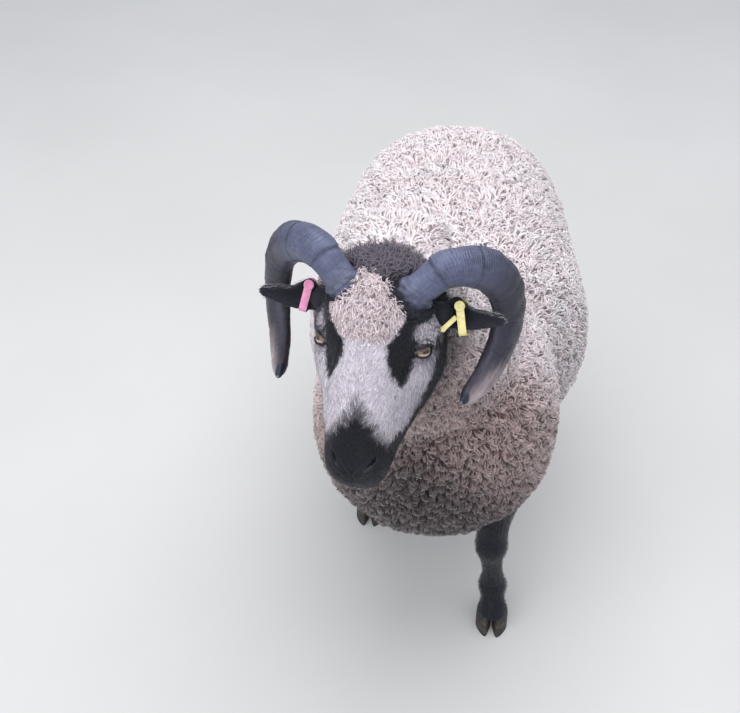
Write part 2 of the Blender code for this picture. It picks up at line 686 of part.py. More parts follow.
def head_point(f_row, angle):
    """A place on the head's section, in the head's frame: angle 0 is its left side, 90 its top."""
    f, width, top, bottom, widest, roof = f_row
    across, along = math.cos(angle), math.sin(angle)
    x = math.copysign(abs(across) ** (2 / HEAD_SQUARENESS), across) * width
    rise = top - widest if along > 0 else widest - bottom
    lift = math.copysign(abs(along) ** (2 / HEAD_SQUARENESS), along)
    narrow = 1 - (1 - roof) * max(0.0, lift) ** ROOF_CURVE
    jaw = 1 - JAW_NARROWING * max(0.0, -lift) ** JAW_CURVE
    return np.array((x * narrow * jaw, f, widest + lift * rise))


def head_shape(nodes):
    rings = []
    for row in stations(HEAD, 2):
        ring = [head_point(row, 2 * math.pi * (i + 0.5) / HEAD_POINTS) for i in range(HEAD_POINTS)]
        rings.append(ring)
    points = np.array(rings)
    middle = points.mean(axis=1, keepdims=True)
    outward = points - middle
    outward /= np.linalg.norm(outward, axis=2, keepdims=True)
    for x, f, u, push, reach in HEAD_DABS:
        for twin in {x, -x}:
            away = np.linalg.norm(points - np.array((twin, f, u)), axis=2)
            points = points + outward * (push * np.exp(-((away / reach) ** 2)))[..., None]
    return loft("head", [[from_head(p) for p in ring] for ring in points], nodes)


def eye_frame(mirror):
    """Centre, outward, corner-line and lid-height directions of an eye, in the body's frame."""
    outward, along = head_way(EYE_OUTWARD, mirror), head_way(EYE_CORNER_LINE, mirror)
    along = (along - outward * along.dot(outward)).normalized()
    return from_head(EYE_CENTRE, mirror), outward, along, outward.cross(along)


def lid_opening(mirror, where):
    """An almond-shaped block that opens the lids."""
    centre, outward, along, up = eye_frame(mirror)
    length, height = EYE_OPENING
    rings = []
    for reach, spread in LID_CUT:
        ring = []
        for i in range(LID_CUT_POINTS):
            angle = 2 * math.pi * i / LID_CUT_POINTS
            x = math.cos(angle) * length / 2
            y = math.sin(angle) * abs(math.sin(angle)) ** LID_CUT_POINTEDNESS * height / 2
            ring.append(centre + outward * reach + (along * x + up * y) * spread)
        rings.append(ring)
    return loft("lid_opening", rings, where)


def nostril_cutter(mirror, where):
    bm = bmesh.new()
    bmesh.ops.create_uvsphere(bm, u_segments=8, v_segments=6, radius=1)
    for vert in bm.verts:
        along, across, deep = vert.co.x * NOSTRIL_SIZE[0], vert.co.y * NOSTRIL_SIZE[2], vert.co.z
        along_x = along * math.cos(NOSTRIL_TURN) - across * math.sin(NOSTRIL_TURN)
        along_u = along * math.sin(NOSTRIL_TURN) + across * math.cos(NOSTRIL_TURN)
        x, f, u = NOSTRIL_AT
        vert.co = from_head((x + along_x, f + deep * NOSTRIL_SIZE[1] * 2, u + along_u), mirror)
    return mesh_object("nostril_cutter", bm, where)


def mouth_cutter(where):
    """A thin wedge that parts the lips, from one corner round the front to the other."""
    rows = stations([(f, u) for f, u in MOUTH], 3)
    widths = keyed([row[:2] for row in HEAD], rows[:, 0])[:, 0] * JAW_AT_MOUTH
    path = [(w, f, u) for (f, u), w in zip(rows, widths)]
    path += [(-w, f, u) for w, f, u in path[::-1]]
    rings = []
    for x, f, u in path:
        inward = -1 if x > 0 else 1
        outer = x - inward * MOUTH_OUTSIDE
        inner = x + inward * min(MOUTH_DEPTH, abs(x))
        half = MOUTH_HALF_GAP * MOUTH_NARROWING
        rings.append([
            from_head((outer, f + MOUTH_LEAN, u + MOUTH_HALF_GAP)),
            from_head((inner, f - MOUTH_LEAN, u + half)),
            from_head((inner, f - MOUTH_LEAN, u - half)),
            from_head((outer, f + MOUTH_LEAN, u - MOUTH_HALF_GAP)),
        ])
    return loft("mouth_cutter", rings, where)


def horn(side, mirror, grow, where):
    """A curled horn with an oval section, grown by a gap where it serves to cut its socket."""
    rows = []
    for i, (x, f, u, wide, deep) in enumerate(HORN):
        rise = HORN_RISE[side] * math.sin(math.pi * i / (len(HORN) - 1))
        rows.append((*from_head((x, f + rise, u), mirror), wide + grow, deep + grow))
    start = Vector(rows[0][:3])
    start += (start - Vector(rows[1][:3])).normalized() * grow * 2
    rows[0] = (*start, *rows[0][3:])
    centre = from_head(HORN_CURL_CENTRE, mirror)
    rings = tube_rings(rows, 2, HORN_POINTS, lambda p: p - centre)
    return loft(f"horn_{side}", rings, where)


def ear_frame(mirror):
    root, tip = from_head(EAR_ROOT, mirror), from_head(EAR_TIP, mirror)
    along = (tip - root).normalized()
    facing = head_way(EAR_FACING, mirror)
    facing = (facing - along * facing.dot(along)).normalized()
    down = along.cross(facing) * mirror
    return root, along, facing, down, (tip - root).length


def ear_place(mirror, share, across, off):
    """A place on the ear: share of its length, -1 to 1 across it, and off its middle surface."""
    root, along, facing, down, length = ear_frame(mirror)
    upper, lower, cup = keyed(EAR, share)[0]
    width = upper if across < 0 else lower
    sag = -cup * (1 - across * across)
    slope = math.atan2(2 * cup * across, width)
    tilt = Vector((-math.sin(slope), math.cos(slope)))
    return (root + along * (share * length) + down * (across * width + tilt[0] * off)
            + facing * (sag + tilt[1] * off))


def ear(side, mirror, grow, where):
    """A leaf-shaped cup. Its two faces have the same triangles, so that they never cross."""
    bm = bmesh.new()
    shares = np.linspace(0, 1, EAR_STEPS + 1)
    spans = np.linspace(-1, 1, EAR_ACROSS + 1)
    half = EAR_THICKNESS / 2 + grow
    skins = []
    for facing in (1, -1):
        skin = []
        for s in shares:
            offs = [facing * half * (1 - RIM_THINNING * a * a) * (1 - TIP_THINNING * s) for a in spans]
            skin.append([bm.verts.new(ear_place(mirror, s, a, off)) for a, off in zip(spans, offs)])
        skins.append(skin)
    front, back = skins
    for i in range(EAR_STEPS):
        for j in range(EAR_ACROSS):
            for skin in skins:
                corner = skin[i][j], skin[i + 1][j], skin[i + 1][j + 1], skin[i][j + 1]
                bm.faces.new((corner[0], corner[1], corner[2]))
                bm.faces.new((corner[0], corner[2], corner[3]))
        for j in (0, EAR_ACROSS):
            bm.faces.new((front[i][j], front[i + 1][j], back[i + 1][j], back[i][j]))
    for i in (0, EAR_STEPS):
        for j in range(EAR_ACROSS):
            bm.faces.new((front[i][j], front[i][j + 1], back[i][j + 1], back[i][j]))
    return mesh_object(f"ear_{side}", bm, where)


def ear_butt(side, mirror, grow, where):
    """The rounded root of an ear, which sits in the head."""
    root, along, facing, down, _ = ear_frame(mirror)
    rings = []
    for i, (reach, radius) in enumerate(EAR_BUTT):
        middle = root + along * (reach + (grow if i else -grow)) - facing * EAR_BUTT_BACK
        tall, flat = (radius + grow) * EAR_BUTT_TALL, (radius + grow) * EAR_BUTT_FLAT
        rings.append(oval(middle, down, facing, tall, flat, flat, ROUND_POINTS))
    return loft(f"ear_butt_{side}", rings, where)


def pin(name, start, end, radius, where):
    """A round pin between two places."""
    way = end - start
    side = way.orthogonal().normalized()
    up = way.normalized().cross(side)
    rings = [oval(place, side, up, radius, radius, radius, ROUND_POINTS) for place in (start, end)]
    return loft(name, rings, where)


def tag_frame(side, mirror):
    """The pin's place, and the tag's directions along the ear, out of it and down the strip."""
    root, along, facing, down, length = ear_frame(mirror)
    share, top, bottom, slant = TAGS[side]
    start = root + along * (share * length) + down * top
    way = down * (bottom - top) + along * slant
    return start, along, facing, way.normalized(), bottom - top


def strip(name, path, wide, normals, half_width, half_thickness, where):
    """A flat strip along a path, with its own width and thickness directions at each place."""
    rings = []
    for place, normal in zip(path, normals):
        ring = []
        for across, off in ((1, 1), (-1, 1), (-1, -1), (1, -1)):
            ring.append(place + wide * (across * half_width) + normal * (off * half_thickness))
        rings.append(ring)
    return loft(name, rings, where)


def ear_tag(side, mirror, nodes, scratch):
    """A strip folded round the ear's lower edge, pinned through the ear under two round heads."""
    start, _, facing, way, reach = tag_frame(side, mirror)
    straight = reach - TAG_CORNER
    outline, turns = [(0, TAG_FRONT), (straight, TAG_FRONT)], [0, 0]
    for middle, first in ((TAG_FRONT - TAG_CORNER, 0), (TAG_BACK + TAG_CORNER, math.pi / 2)):
        for angle in np.linspace(first, first + math.pi / 2, 4)[1:]:
            sine, cosine = math.sin(angle), math.cos(angle)
            outline.append((straight + sine * TAG_CORNER, middle + cosine * TAG_CORNER))
            turns.append(angle)
    outline.append((0, TAG_BACK))
    turns.append(math.pi)
    path = [start + way * reach + facing * off for reach, off in outline]
    normals = [way * math.sin(turn) + facing * math.cos(turn) for turn in turns]
    wide = way.cross(facing)
    obj = strip(f"tag_{side}", path, wide, normals, TAG_WIDTH / 2, TAG_THICKNESS / 2, nodes)
    for off, out in ((TAG_FRONT, 1), (TAG_BACK, -1)):
        under = start + facing * (off - out * TAG_THICKNESS * TAG_HEAD_SUNK)
        over = start + facing * (off + out * TAG_THICKNESS)
        pin("tag_head", under, over, TAG_BUTTON_RADIUS, scratch)
    pin("tag_pin", start + facing * TAG_BACK, start + facing * TAG_FRONT, TAG_PIN_RADIUS, scratch)
    boolean(obj, "UNION", group=scratch)
    return obj


def small_tag_places():
    root, along, facing, down, length = ear_frame(1)
    return [root + along * (share * length) + down * across + facing * off
            for share, across, off in SMALL_TAG]


def small_tag(nodes, scratch):
    """A short strip in front of the left ear, pinned through it, with a round end."""
    start, held, end = small_tag_places()
    facing = ear_frame(1)[2]
    way = (end - start).normalized()
    normal = (facing - way * facing.dot(way)).normalized()
    wide = way.cross(normal)
    half = SMALL_TAG_WIDTH / 2
    obj = strip("tag_left_small", (start, end), wide, (normal, normal), half, TAG_THICKNESS / 2, nodes)
    thick = normal * TAG_THICKNESS
    pin("tag_end", end - thick, end + thick, SMALL_TAG_BUTTON, scratch)
    middle = start + (end - start) * ((held - start).dot(way) / (end - start).length)
    back = middle + facing * (SMALL_TAG_BACK - SMALL_TAG[1][2])
    pin("tag_pin", back, middle, SMALL_TAG_PIN, scratch)
    under, over = back - facing * TAG_THICKNESS, back + facing * TAG_THICKNESS / 2
    pin("tag_head", under, over, SMALL_TAG_HEAD, scratch)
    boolean(obj, "UNION", group=scratch)
    return obj, middle, facing


def finish_node(obj, colour_name, colour, roughness, smooth=True):
    keep_largest(obj)
    obj.data.materials.clear()
    obj.data.materials.append(material(colour_name, colour, roughness))
    if smooth:
        obj.data.shade_smooth()
        obj.data.set_sharp_from_angle(angle=math.radians(50))


def copy_of(obj, name, where):
    made = bpy.data.objects.new(name, obj.data.copy())
    where.objects.link(made)
    return made


def build_body(nodes, scratch, clumps):
    """Trunk, neck, legs and tail as one woolly body, then parted into its nodes."""
    body = loft("torso", trunk_rings(), nodes)
    sink(body, COAT_RISE)
    neck = loft("neck_core", tube_rings(NECK, 1, NECK_POINTS, (1, 0, 0)), scratch)
    sink(neck, COAT_RISE)
    for leg in STRIDES:
        leg_shape(leg, scratch)
    loft("tail_core", tube_rings(TAIL, 2, TAIL_POINTS, (1, 0, 0)), scratch)
    boolean(body, "UNION", group=scratch)
    grow_clumps(body, coat_at, SEED, clumps, BODY_TRIES)

    for leg in STRIDES:
        obj = copy_of(body, f"leg_{leg}", nodes)
        boolean(obj, "INTERSECT", leg_region("region", leg, -HALF_GAP, scratch))
        finish_node(obj, "leg_hair", LEG_HAIR, 0.8)
    tail = copy_of(body, "tail", nodes)
    boolean(tail, "INTERSECT", tail_region("region", -HALF_GAP, scratch))
    finish_node(tail, "wool", WOOL, 0.95)
    for leg in STRIDES:
        boolean(body, "DIFFERENCE", leg_region("region", leg, HALF_GAP, scratch))
    boolean(body, "DIFFERENCE", tail_region("region", HALF_GAP, scratch))

    neck = copy_of(body, "neck", nodes)
    cut_flat(neck, NECK_CUT_AT, NECK_CUT_NORMAL)
    throat, towards_head = head_plane()
    cut_flat(neck, throat, -towards_head)
    cut_flat(body, NECK_CUT_AT, -Vector(NECK_CUT_NORMAL))
    finish_node(neck, "wool", WOOL, 0.95)
    finish_node(body, "wool", WOOL, 0.95)


def build_head(nodes, scratch, clumps):
    head = head_shape(nodes)
    for mirror in (1, -1):
        centre = from_head(EYE_CENTRE, mirror)
        ball("lids", centre, EYE_RADIUS + CUT_GAP + LID_THICKNESS, scratch)
    boolean(head, "UNION", group=scratch)
    grow_clumps(head, crown_coat, SEED + 1, clumps, CROWN_TRIES)
    throat, towards_head = head_plane()
    cut_flat(head, throat, towards_head)
    for side, mirror in (("left", 1), ("right", -1)):
        centre = from_head(EYE_CENTRE, mirror)
        boolean(head, "DIFFERENCE", lid_opening(mirror, scratch))
        boolean(head, "DIFFERENCE", ball("socket", centre, EYE_RADIUS + CUT_GAP, scratch))
        boolean(head, "DIFFERENCE", nostril_cutter(mirror, scratch))
        eye = ball(f"eye_{side}", centre, EYE_RADIUS, nodes)
        finish_node(eye, "eye", IRIS_AMBER, 0.1)
        boolean(head, "DIFFERENCE", horn(side, mirror, CUT_GAP, scratch))
        finish_node(horn(side, mirror, 0, nodes), "horn", HORN_GREY, 0.45)
        outer_ear = ear(side, mirror, 0, nodes)
        boolean(outer_ear, "UNION", ear_butt(side, mirror, 0, scratch))
        boolean(head, "DIFFERENCE", ear_butt(side, mirror, CUT_GAP, scratch))
        start, _, facing, _, _ = tag_frame(side, mirror)
        holes = [(start, facing, TAG_PIN_RADIUS)]
        tag = ear_tag(side, mirror, nodes, scratch)
        colour = TAG_PINK if side == "right" else TAG_YELLOW
        finish_node(tag, f"tag_{side}", colour, 0.4, smooth=False)
        if side == "left":
            second, middle, facing = small_tag(nodes, scratch)
            finish_node(second, "tag_left", TAG_YELLOW, 0.4, smooth=False)
            holes.append((middle, facing, SMALL_TAG_PIN))
        for middle, facing, radius in holes:
            reach = facing * HOLE_REACH
            hole = pin("hole", middle - reach, middle + reach, radius + CUT_GAP, scratch)
            boolean(outer_ear, "DIFFERENCE", hole)
        finish_node(outer_ear, "ear_skin", EAR_BLACK, 0.7)
    boolean(head, "DIFFERENCE", mouth_cutter(scratch))
    finish_node(head, "face_hair", FACE_HAIR, 0.85)


def main():
    clear_scene()
    nodes, scratch = collection("shetland_ram"), collection("scratch")
    clumps = collection("clumps")
    build_body(nodes, scratch, clumps)
    build_head(nodes, scratch, clumps)
    for leg in STRIDES:
        for apart in (-1, 1):
            finish_node(claw(leg, apart, nodes), "hoof", HOOF_DARK, 0.5)
    for obj in nodes.objects:
        obj.data.transform(Matrix.Translation(ORIGIN_SHIFT))


main()
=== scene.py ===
"""Dresses the Shetland ram: one skin, a curly fleece, short hair, horns, ears, eyes, hooves and tags.

Lengths are in metres. The tables repeat the driving sizes of the ram's solids. They stand in the
ram's own frame, and everything is moved by ORIGIN_SHIFT as its mesh is made.
"""

import math

import bmesh
import bpy
import numpy as np
from bpy.props import FloatProperty, FloatVectorProperty, IntProperty, PointerProperty
from mathutils import Matrix, Vector
from mathutils.kdtree import KDTree


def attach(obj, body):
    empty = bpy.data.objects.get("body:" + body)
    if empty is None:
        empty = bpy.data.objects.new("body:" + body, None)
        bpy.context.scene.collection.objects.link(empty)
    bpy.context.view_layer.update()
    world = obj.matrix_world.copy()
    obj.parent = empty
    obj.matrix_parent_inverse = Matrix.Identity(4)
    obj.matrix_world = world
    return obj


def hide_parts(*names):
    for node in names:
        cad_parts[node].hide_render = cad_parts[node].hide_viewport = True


bl_info = {
    "name": "Shetland ram",
    "version": (1, 0, 0),
    "blender": (4, 5, 0),
    "location": "3D View > Sidebar > Ram",
    "description": "Skin, fleece, horns and tags for a life-size ram",
    "category": "Add Mesh",
}

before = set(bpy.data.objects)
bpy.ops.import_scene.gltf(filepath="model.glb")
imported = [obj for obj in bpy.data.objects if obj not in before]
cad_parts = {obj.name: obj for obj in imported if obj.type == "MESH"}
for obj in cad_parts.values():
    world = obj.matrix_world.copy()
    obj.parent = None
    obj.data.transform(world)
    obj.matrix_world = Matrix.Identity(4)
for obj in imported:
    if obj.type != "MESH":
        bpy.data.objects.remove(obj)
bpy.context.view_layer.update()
ORIGIN_SHIFT = np.array((-0.003, -0.014, 0.0))

# Trunk, from the rump to the brisket: y, half width, height of the back, height of the belly
TRUNK = (
    (0.514, 0.004, 0.515, 0.505),
    (0.507, 0.074, 0.588, 0.434),
    (0.488, 0.130, 0.636, 0.370),
    (0.450, 0.172, 0.666, 0.322),
    (0.390, 0.200, 0.680, 0.290),
    (0.300, 0.214, 0.684, 0.270),
    (0.190, 0.228, 0.678, 0.256),
    (0.075, 0.234, 0.670, 0.250),
    (0.015, 0.212, 0.668, 0.252),
    (-0.040, 0.181, 0.668, 0.255),
    (-0.105, 0.192, 0.668, 0.261),
    (-0.180, 0.184, 0.650, 0.274),
    (-0.228, 0.152, 0.610, 0.292),
    (-0.256, 0.107, 0.556, 0.322),
    (-0.270, 0.056, 0.496, 0.366),
    (-0.274, 0.004, 0.436, 0.426),
)
TRUNK_SQUARENESS = 2.25
FLANK_BULGE, BULGE_AT, BULGE_REACH = 0.010, 0.100, 0.110
COAT_RISE = 0.0150  # from the skin to the tips of the fleece

# Neck, from inside the shoulders to the back of the head: x, y, z, half width, half depth
NECK = (
    (0.000, 0.020, 0.450, 0.150, 0.170),
    (-0.006, -0.070, 0.535, 0.156, 0.172),
    (-0.024, -0.155, 0.630, 0.136, 0.142),
    (-0.046, -0.230, 0.722, 0.113, 0.118),
    (-0.060, -0.290, 0.790, 0.097, 0.101),
    (-0.068, -0.360, 0.836, 0.087, 0.090),
)
THROAT, POLL = (-0.066, -0.350, 0.765), (-0.066, -0.308, 0.902)

# The fleece darkens on the throat's side of a line along the neck
NECK_LINE_AT, THROATWARD = (0.0, 0.020, 0.450), (0.0, -0.712, -0.702)

# Legs, from the body down to the coronet: x, y, z, half width, half depth
FORE_LEG = (
    (0.100, -0.110, 0.520, 0.050, 0.080),
    (0.116, -0.112, 0.400, 0.054, 0.075),
    (0.120, -0.116, 0.335, 0.046, 0.056),
    (0.114, -0.132, 0.278, 0.030, 0.037),
    (0.111, -0.146, 0.226, 0.0235, 0.0265),
    (0.111, -0.152, 0.190, 0.0255, 0.0265),
    (0.113, -0.149, 0.160, 0.0185, 0.0205),
    (0.117, -0.146, 0.124, 0.0160, 0.0180),
    (0.119, -0.145, 0.098, 0.0175, 0.0190),
    (0.121, -0.146, 0.078, 0.0210, 0.0215),
    (0.123, -0.156, 0.055, 0.0190, 0.0190),
    (0.125, -0.168, 0.036, 0.0230, 0.0250),
    (0.126, -0.174, 0.018, 0.0260, 0.0300),
)
HIND_LEG = (
    (0.080, 0.350, 0.560, 0.060, 0.100),
    (0.112, 0.340, 0.450, 0.074, 0.112),
    (0.126, 0.330, 0.368, 0.060, 0.088),
    (0.124, 0.358, 0.308, 0.043, 0.058),
    (0.116, 0.398, 0.264, 0.028, 0.043),
    (0.110, 0.421, 0.236, 0.0230, 0.0350),
    (0.107, 0.423, 0.206, 0.0195, 0.0255),
    (0.106, 0.421, 0.155, 0.0160, 0.0185),
    (0.106, 0.420, 0.110, 0.0175, 0.0195),
    (0.106, 0.417, 0.086, 0.0215, 0.0220),
    (0.107, 0.405, 0.061, 0.0190, 0.0190),
    (0.108, 0.392, 0.038, 0.0230, 0.0250),
    (0.109, 0.385, 0.020, 0.0260, 0.0300),
)
LEG_TOP = 0.50
STRIDES = {
    "fore_left": (FORE_LEG, 1, 0.000),
    "fore_right": (FORE_LEG, -1, 0.250),
    "hind_left": (HIND_LEG, 1, 0.000),
    "hind_right": (HIND_LEG, -1, -0.050),
}
WOOL_LINE = {"fore": 0.292, "hind": 0.285}
DEWCLAW_RADIUS, DEWCLAW_STRETCH, DEWCLAW_APART = 0.0065, 1.35, 0.011
DEWCLAW_UP, DEWCLAW_BACK = 0.066, 0.016
THIGH_SHARE, THIGH_SQUARENESS, LEG_SQUARENESS = 0.97, 2.2, 2.15
# Knee or hock, and fetlock: height, reach up and down, and how far each stands out
KNEE, KNEE_RISE, FETLOCK, FETLOCK_RISE = (0.192, 0.014), 0.0022, (0.074, 0.010), 0.0018
GROOVE_DEPTH = 0.0032
LEGS_PART = 0.20  # y between the fore and the hind legs
SHELL_VOXEL, EASE_FACTOR, EASE_ROUNDS = 0.006, 0.6, 14

# Tail: x, y, z, half width, half depth
TAIL = (
    (0.000, 0.475, 0.612, 0.030, 0.016),
    (0.000, 0.507, 0.580, 0.032, 0.016),
    (0.000, 0.520, 0.540, 0.033, 0.015),
    (0.000, 0.523, 0.500, 0.027, 0.013),
    (0.000, 0.521, 0.465, 0.016, 0.010),
    (0.000, 0.519, 0.442, 0.006, 0.005),
)

# Hooves
CLAW_HALF_WIDTH, CLAW_LENGTH, CLAW_TOP, CLAW_SPLIT = 0.0135, 0.058, 0.060, 0.0012
CORONET_FRONT, CORONET_BACK, TOE_REACH = 0.036, 0.022, 0.040
CLAW_RINGS = ((0.0, 1.0), (0.3, 0.985), (1.0, 0.80))
CLAW_RAKE, TOE_TAPER, TOE_INTURN = 0.42, 0.42, 0.004
CLAW_AROUND, CLAW_SUNK = 56, 0.0002  # sides of a claw, and how far its top lies under the hair

# Head, in its own frame: x to the left, f along the face to the nose, u out of the face
EYES_AT = (-0.066, -0.419, 0.838)
HEAD_PITCH, HEAD_YAW, HEAD_ROLL = math.radians(43.1), math.radians(-6.9), math.radians(-1.3)
# f, half width, u of the top, u of the bottom, u of the widest, roundness of the top
HEAD = (
    (-0.160, 0.042, -0.066, -0.110, -0.086, 0.85),
    (-0.125, 0.058, -0.030, -0.120, -0.080, 0.86),
    (-0.088, 0.067, 0.005, -0.118, -0.070, 0.88),
    (-0.048, 0.0715, 0.028, -0.114, -0.066, 0.90),
    (-0.010, 0.0735, 0.037, -0.110, -0.066, 0.88),
    (0.020, 0.0715, 0.037, -0.104, -0.068, 0.80),
    (0.050, 0.0640, 0.032, -0.094, -0.066, 0.74),
    (0.080, 0.0530, 0.025, -0.082, -0.054, 0.78),
    (0.108, 0.0425, 0.016, -0.070, -0.038, 0.84),
    (0.132, 0.0385, 0.006, -0.063, -0.030, 0.90),
    (0.150, 0.0320, -0.005, -0.060, -0.030, 0.96),
    (0.161, 0.0215, -0.015, -0.052, -0.033, 1.00),
    (0.166, 0.0040, -0.030, -0.038, -0.034, 1.00),
)
# Where the head is pushed out or in: x, f, u, outward distance, reach. Each has a mirror twin.
HEAD_DABS = (
    (0.058, -0.016, 0.020, 0.0065, 0.020),  # brow
    (0.072, -0.026, -0.018, 0.0095, 0.020),  # outer rim of the eye's socket
    (0.044, 0.026, 0.006, -0.0050, 0.016),  # hollow before the eye
    (0.062, 0.024, -0.026, 0.0040, 0.020),  # cheekbone
    (0.068, 0.000, -0.066, 0.0050, 0.030),  # jaw muscle
    (0.050, 0.062, -0.050, -0.0030, 0.022),  # hollow of the cheek
    (0.026, 0.146, -0.010, 0.0035, 0.013),  # wing of the nostril
    (0.000, 0.140, -0.066, 0.0040, 0.018),  # chin
    (0.000, 0.164, -0.008, -0.0025, 0.010),  # between the nostrils
)
HEAD_SQUARENESS = 2.35
ROOF_CURVE, JAW_NARROWING, JAW_CURVE = 1.2, 0.12, 1.5
EYE_RADIUS = 0.0135
EYE_CENTRE, EYE_OUTWARD = (0.0543, 0.000, -0.009), (0.78, 0.12, 0.61)
EYE_CORNER_LINE = (0.59, -0.42, -0.68)
LID_HALF_LENGTH, LID_UPPER, LID_LOWER = 0.0152, 0.0056, 0.0062
LID_THICKNESS, EYE_REACH = 0.0019, 0.030
# Creases round the eye: above it or below, distance from the lids' edge, width, depth
LID_CREASES = (
    (True, 0.0058, 0.0013, 0.0017), (False, 0.0050, 0.0012, 0.0011), (False, 0.0090, 0.0014, 0.0008),
)
IRIS_RADIUS, PUPIL, LOWER_IRIS = 0.0105, (0.0056, 0.0017), (0.66, 0.50, 0.44)
NOSTRIL = (
    (0.0250, 0.1310, -0.0004), (0.0190, 0.1415, -0.0015),
    (0.0120, 0.1468, -0.0035), (0.0062, 0.1515, -0.0070),
)
MOUTH_FROM, MOUTH_LINE = 0.096, ((0.090, -0.0485), (0.118, -0.0475), (0.145, -0.0450), (0.170, -0.0425))

# Horns, in the head's frame: x, f, u of the centreline, half width across and along the curl
HORN = (
    (0.028, -0.046, -0.004, 0.0215, 0.0195),
    (0.037, -0.056, 0.004, 0.0220, 0.0200),
    (0.0445, -0.0645, 0.009, 0.0210, 0.0192),
    (0.0525, -0.0725, 0.0118, 0.0192, 0.0174),
    (0.077, -0.0945, 0.014, 0.0226, 0.0198),
    (0.112, -0.106, -0.012, 0.0250, 0.0200),
    (0.137, -0.097, -0.048, 0.0246, 0.0175),
    (0.146, -0.072, -0.079, 0.0236, 0.0155),
    (0.143, -0.038, -0.092, 0.0220, 0.0140),
    (0.134, -0.005, -0.088, 0.0194, 0.0124),
    (0.124, 0.022, -0.069, 0.0158, 0.0104),
    (0.115, 0.040, -0.045, 0.0116, 0.0080),
    (0.111, 0.049, -0.030, 0.0050, 0.0036),
)
HORN_CURL_CENTRE = (0.095, -0.030, -0.030)
HORN_RISE = {"left": 0.0015, "right": -0.0045}  # how far the arch of each is shifted along the face
HORN_RINGS, HORN_AROUND, RIDGE_APART, HORN_END = 456, 64, 0.0028, 0.0035
COLLAR_LIP, COLLAR_END, COLLAR_FLARE = 0.030, 0.040, 0.0030
# Deep growth creases: share of the horn's length, depth, width
HORN_CREASES = (
    (0.17, 0.0012, 0.0020), (0.30, 0.0011, 0.0022), (0.47, 0.0008, 0.0022), (0.60, 0.0008, 0.0020),
    (0.74, 0.0007, 0.0018),
)

# Ears, in the head's frame
EAR_ROOT, EAR_TIP = (0.0735, -0.047, -0.0225), (0.148, -0.047, -0.016)
EAR_FACING = (0.12, 0.30, 0.95)
# share of the ear's length, width above and below its middle line, depth of the cup
EAR = (
    (0.000, 0.0120, 0.0130, 0.0095),
    (0.120, 0.0195, 0.0146, 0.0112),
    (0.220, 0.0222, 0.0150, 0.0118),
    (0.340, 0.0168, 0.0154, 0.0108),
    (0.480, 0.0112, 0.0146, 0.0085),
    (0.680, 0.0094, 0.0112, 0.0050),
    (0.850, 0.0080, 0.0076, 0.0026),
    (0.950, 0.0058, 0.0054, 0.0012),
    (1.000, 0.0016, 0.0016, 0.0005),
)
EAR_THICKNESS, EAR_RINGS, EAR_AROUND = 0.0030, 72, 72
EAR_BUTT = ((-0.020, 0.0095), (-0.008, 0.0122), (0.004, 0.0120), (0.011, 0.0050))

# Ear tags: strips folded round the lower edge of each ear, and a short strip in the left one
TAG_WIDTH, TAG_THICKNESS, TAG_BUTTON_RADIUS = 0.0095, 0.0016, 0.0064
TAG_PIN_RADIUS, TAG_CORNER = 0.0020, 0.0035
TAG_FRONT, TAG_BACK = 0.0022, -0.0158
TAGS = {"right": (0.205, -0.0150, 0.0178, 0.0048), "left": (0.270, -0.0120, 0.0225, 0.0067)}
SMALL_TAG = ((0.225, 0.0015, 0.0002), (0.165, 0.0065, 0.0025), (0.050, 0.0165, 0.0070))
SMALL_TAG_WIDTH, SMALL_TAG_BUTTON, SMALL_TAG_PIN = 0.0058, 0.0036, 0.0013
SMALL_TAG_BACK = -0.0152
HOLE_REACH, HOLE_GAP, TAG_EDGE = 0.020, 0.0004, 0.00035
PIN_SIDES, BUTTON_SIDES = 32, 40
TAG_SHARP, HOOF_SHARP = 35, 45  # degrees over which an edge stays sharp
# A button's rings: share of its height, share of its radius
BUTTON = ((0.0, 0.97), (0.35, 1.0), (0.75, 0.98), (1.0, 0.90), (1.0, 0.62), (0.80, 0.52), (0.80, 0.20))

# The photographer's eye
CAMERA_AT, CAMERA_TOWARDS, CAMERA_DOWN = (0.047, -1.345, 1.6), (-0.1229, 0.9924), math.radians(40)
CAMERA_LENS, SENSOR_WIDTH, NEAREST_SEEN = 50.84, 36, 0.05

# Markings of the face. The dark drop before and over each eye: f, middle and half width across
EYE_DROP = (
    (-0.060, 0.0430, 0.0265), (-0.050, 0.0440, 0.0200), (-0.042, 0.0430, 0.0130),
    (-0.034, 0.0435, 0.0065), (-0.026, 0.0443, 0.0058), (-0.017, 0.0433, 0.0083),
    (-0.008, 0.0418, 0.0103), (0.000, 0.0400, 0.0125), (0.007, 0.0383, 0.0148),
    (0.015, 0.0380, 0.0140), (0.023, 0.0383, 0.0118), (0.031, 0.0393, 0.0088),
    (0.038, 0.0403, 0.0053), (0.045, 0.0415, 0.0010), (0.050, 0.0420, -0.0030),
)
# The pale patch over each eye: f, middle and half width across
BROW = (
    (-0.050, 0.0645, -0.0060), (-0.044, 0.0639, 0.0005), (-0.0315, 0.0633, 0.0042),
    (-0.0225, 0.0615, 0.0072), (-0.014, 0.0590, 0.0082), (-0.0085, 0.0585, 0.0045),
    (-0.006, 0.0590, -0.0010), (-0.002, 0.0590, -0.0060),
)
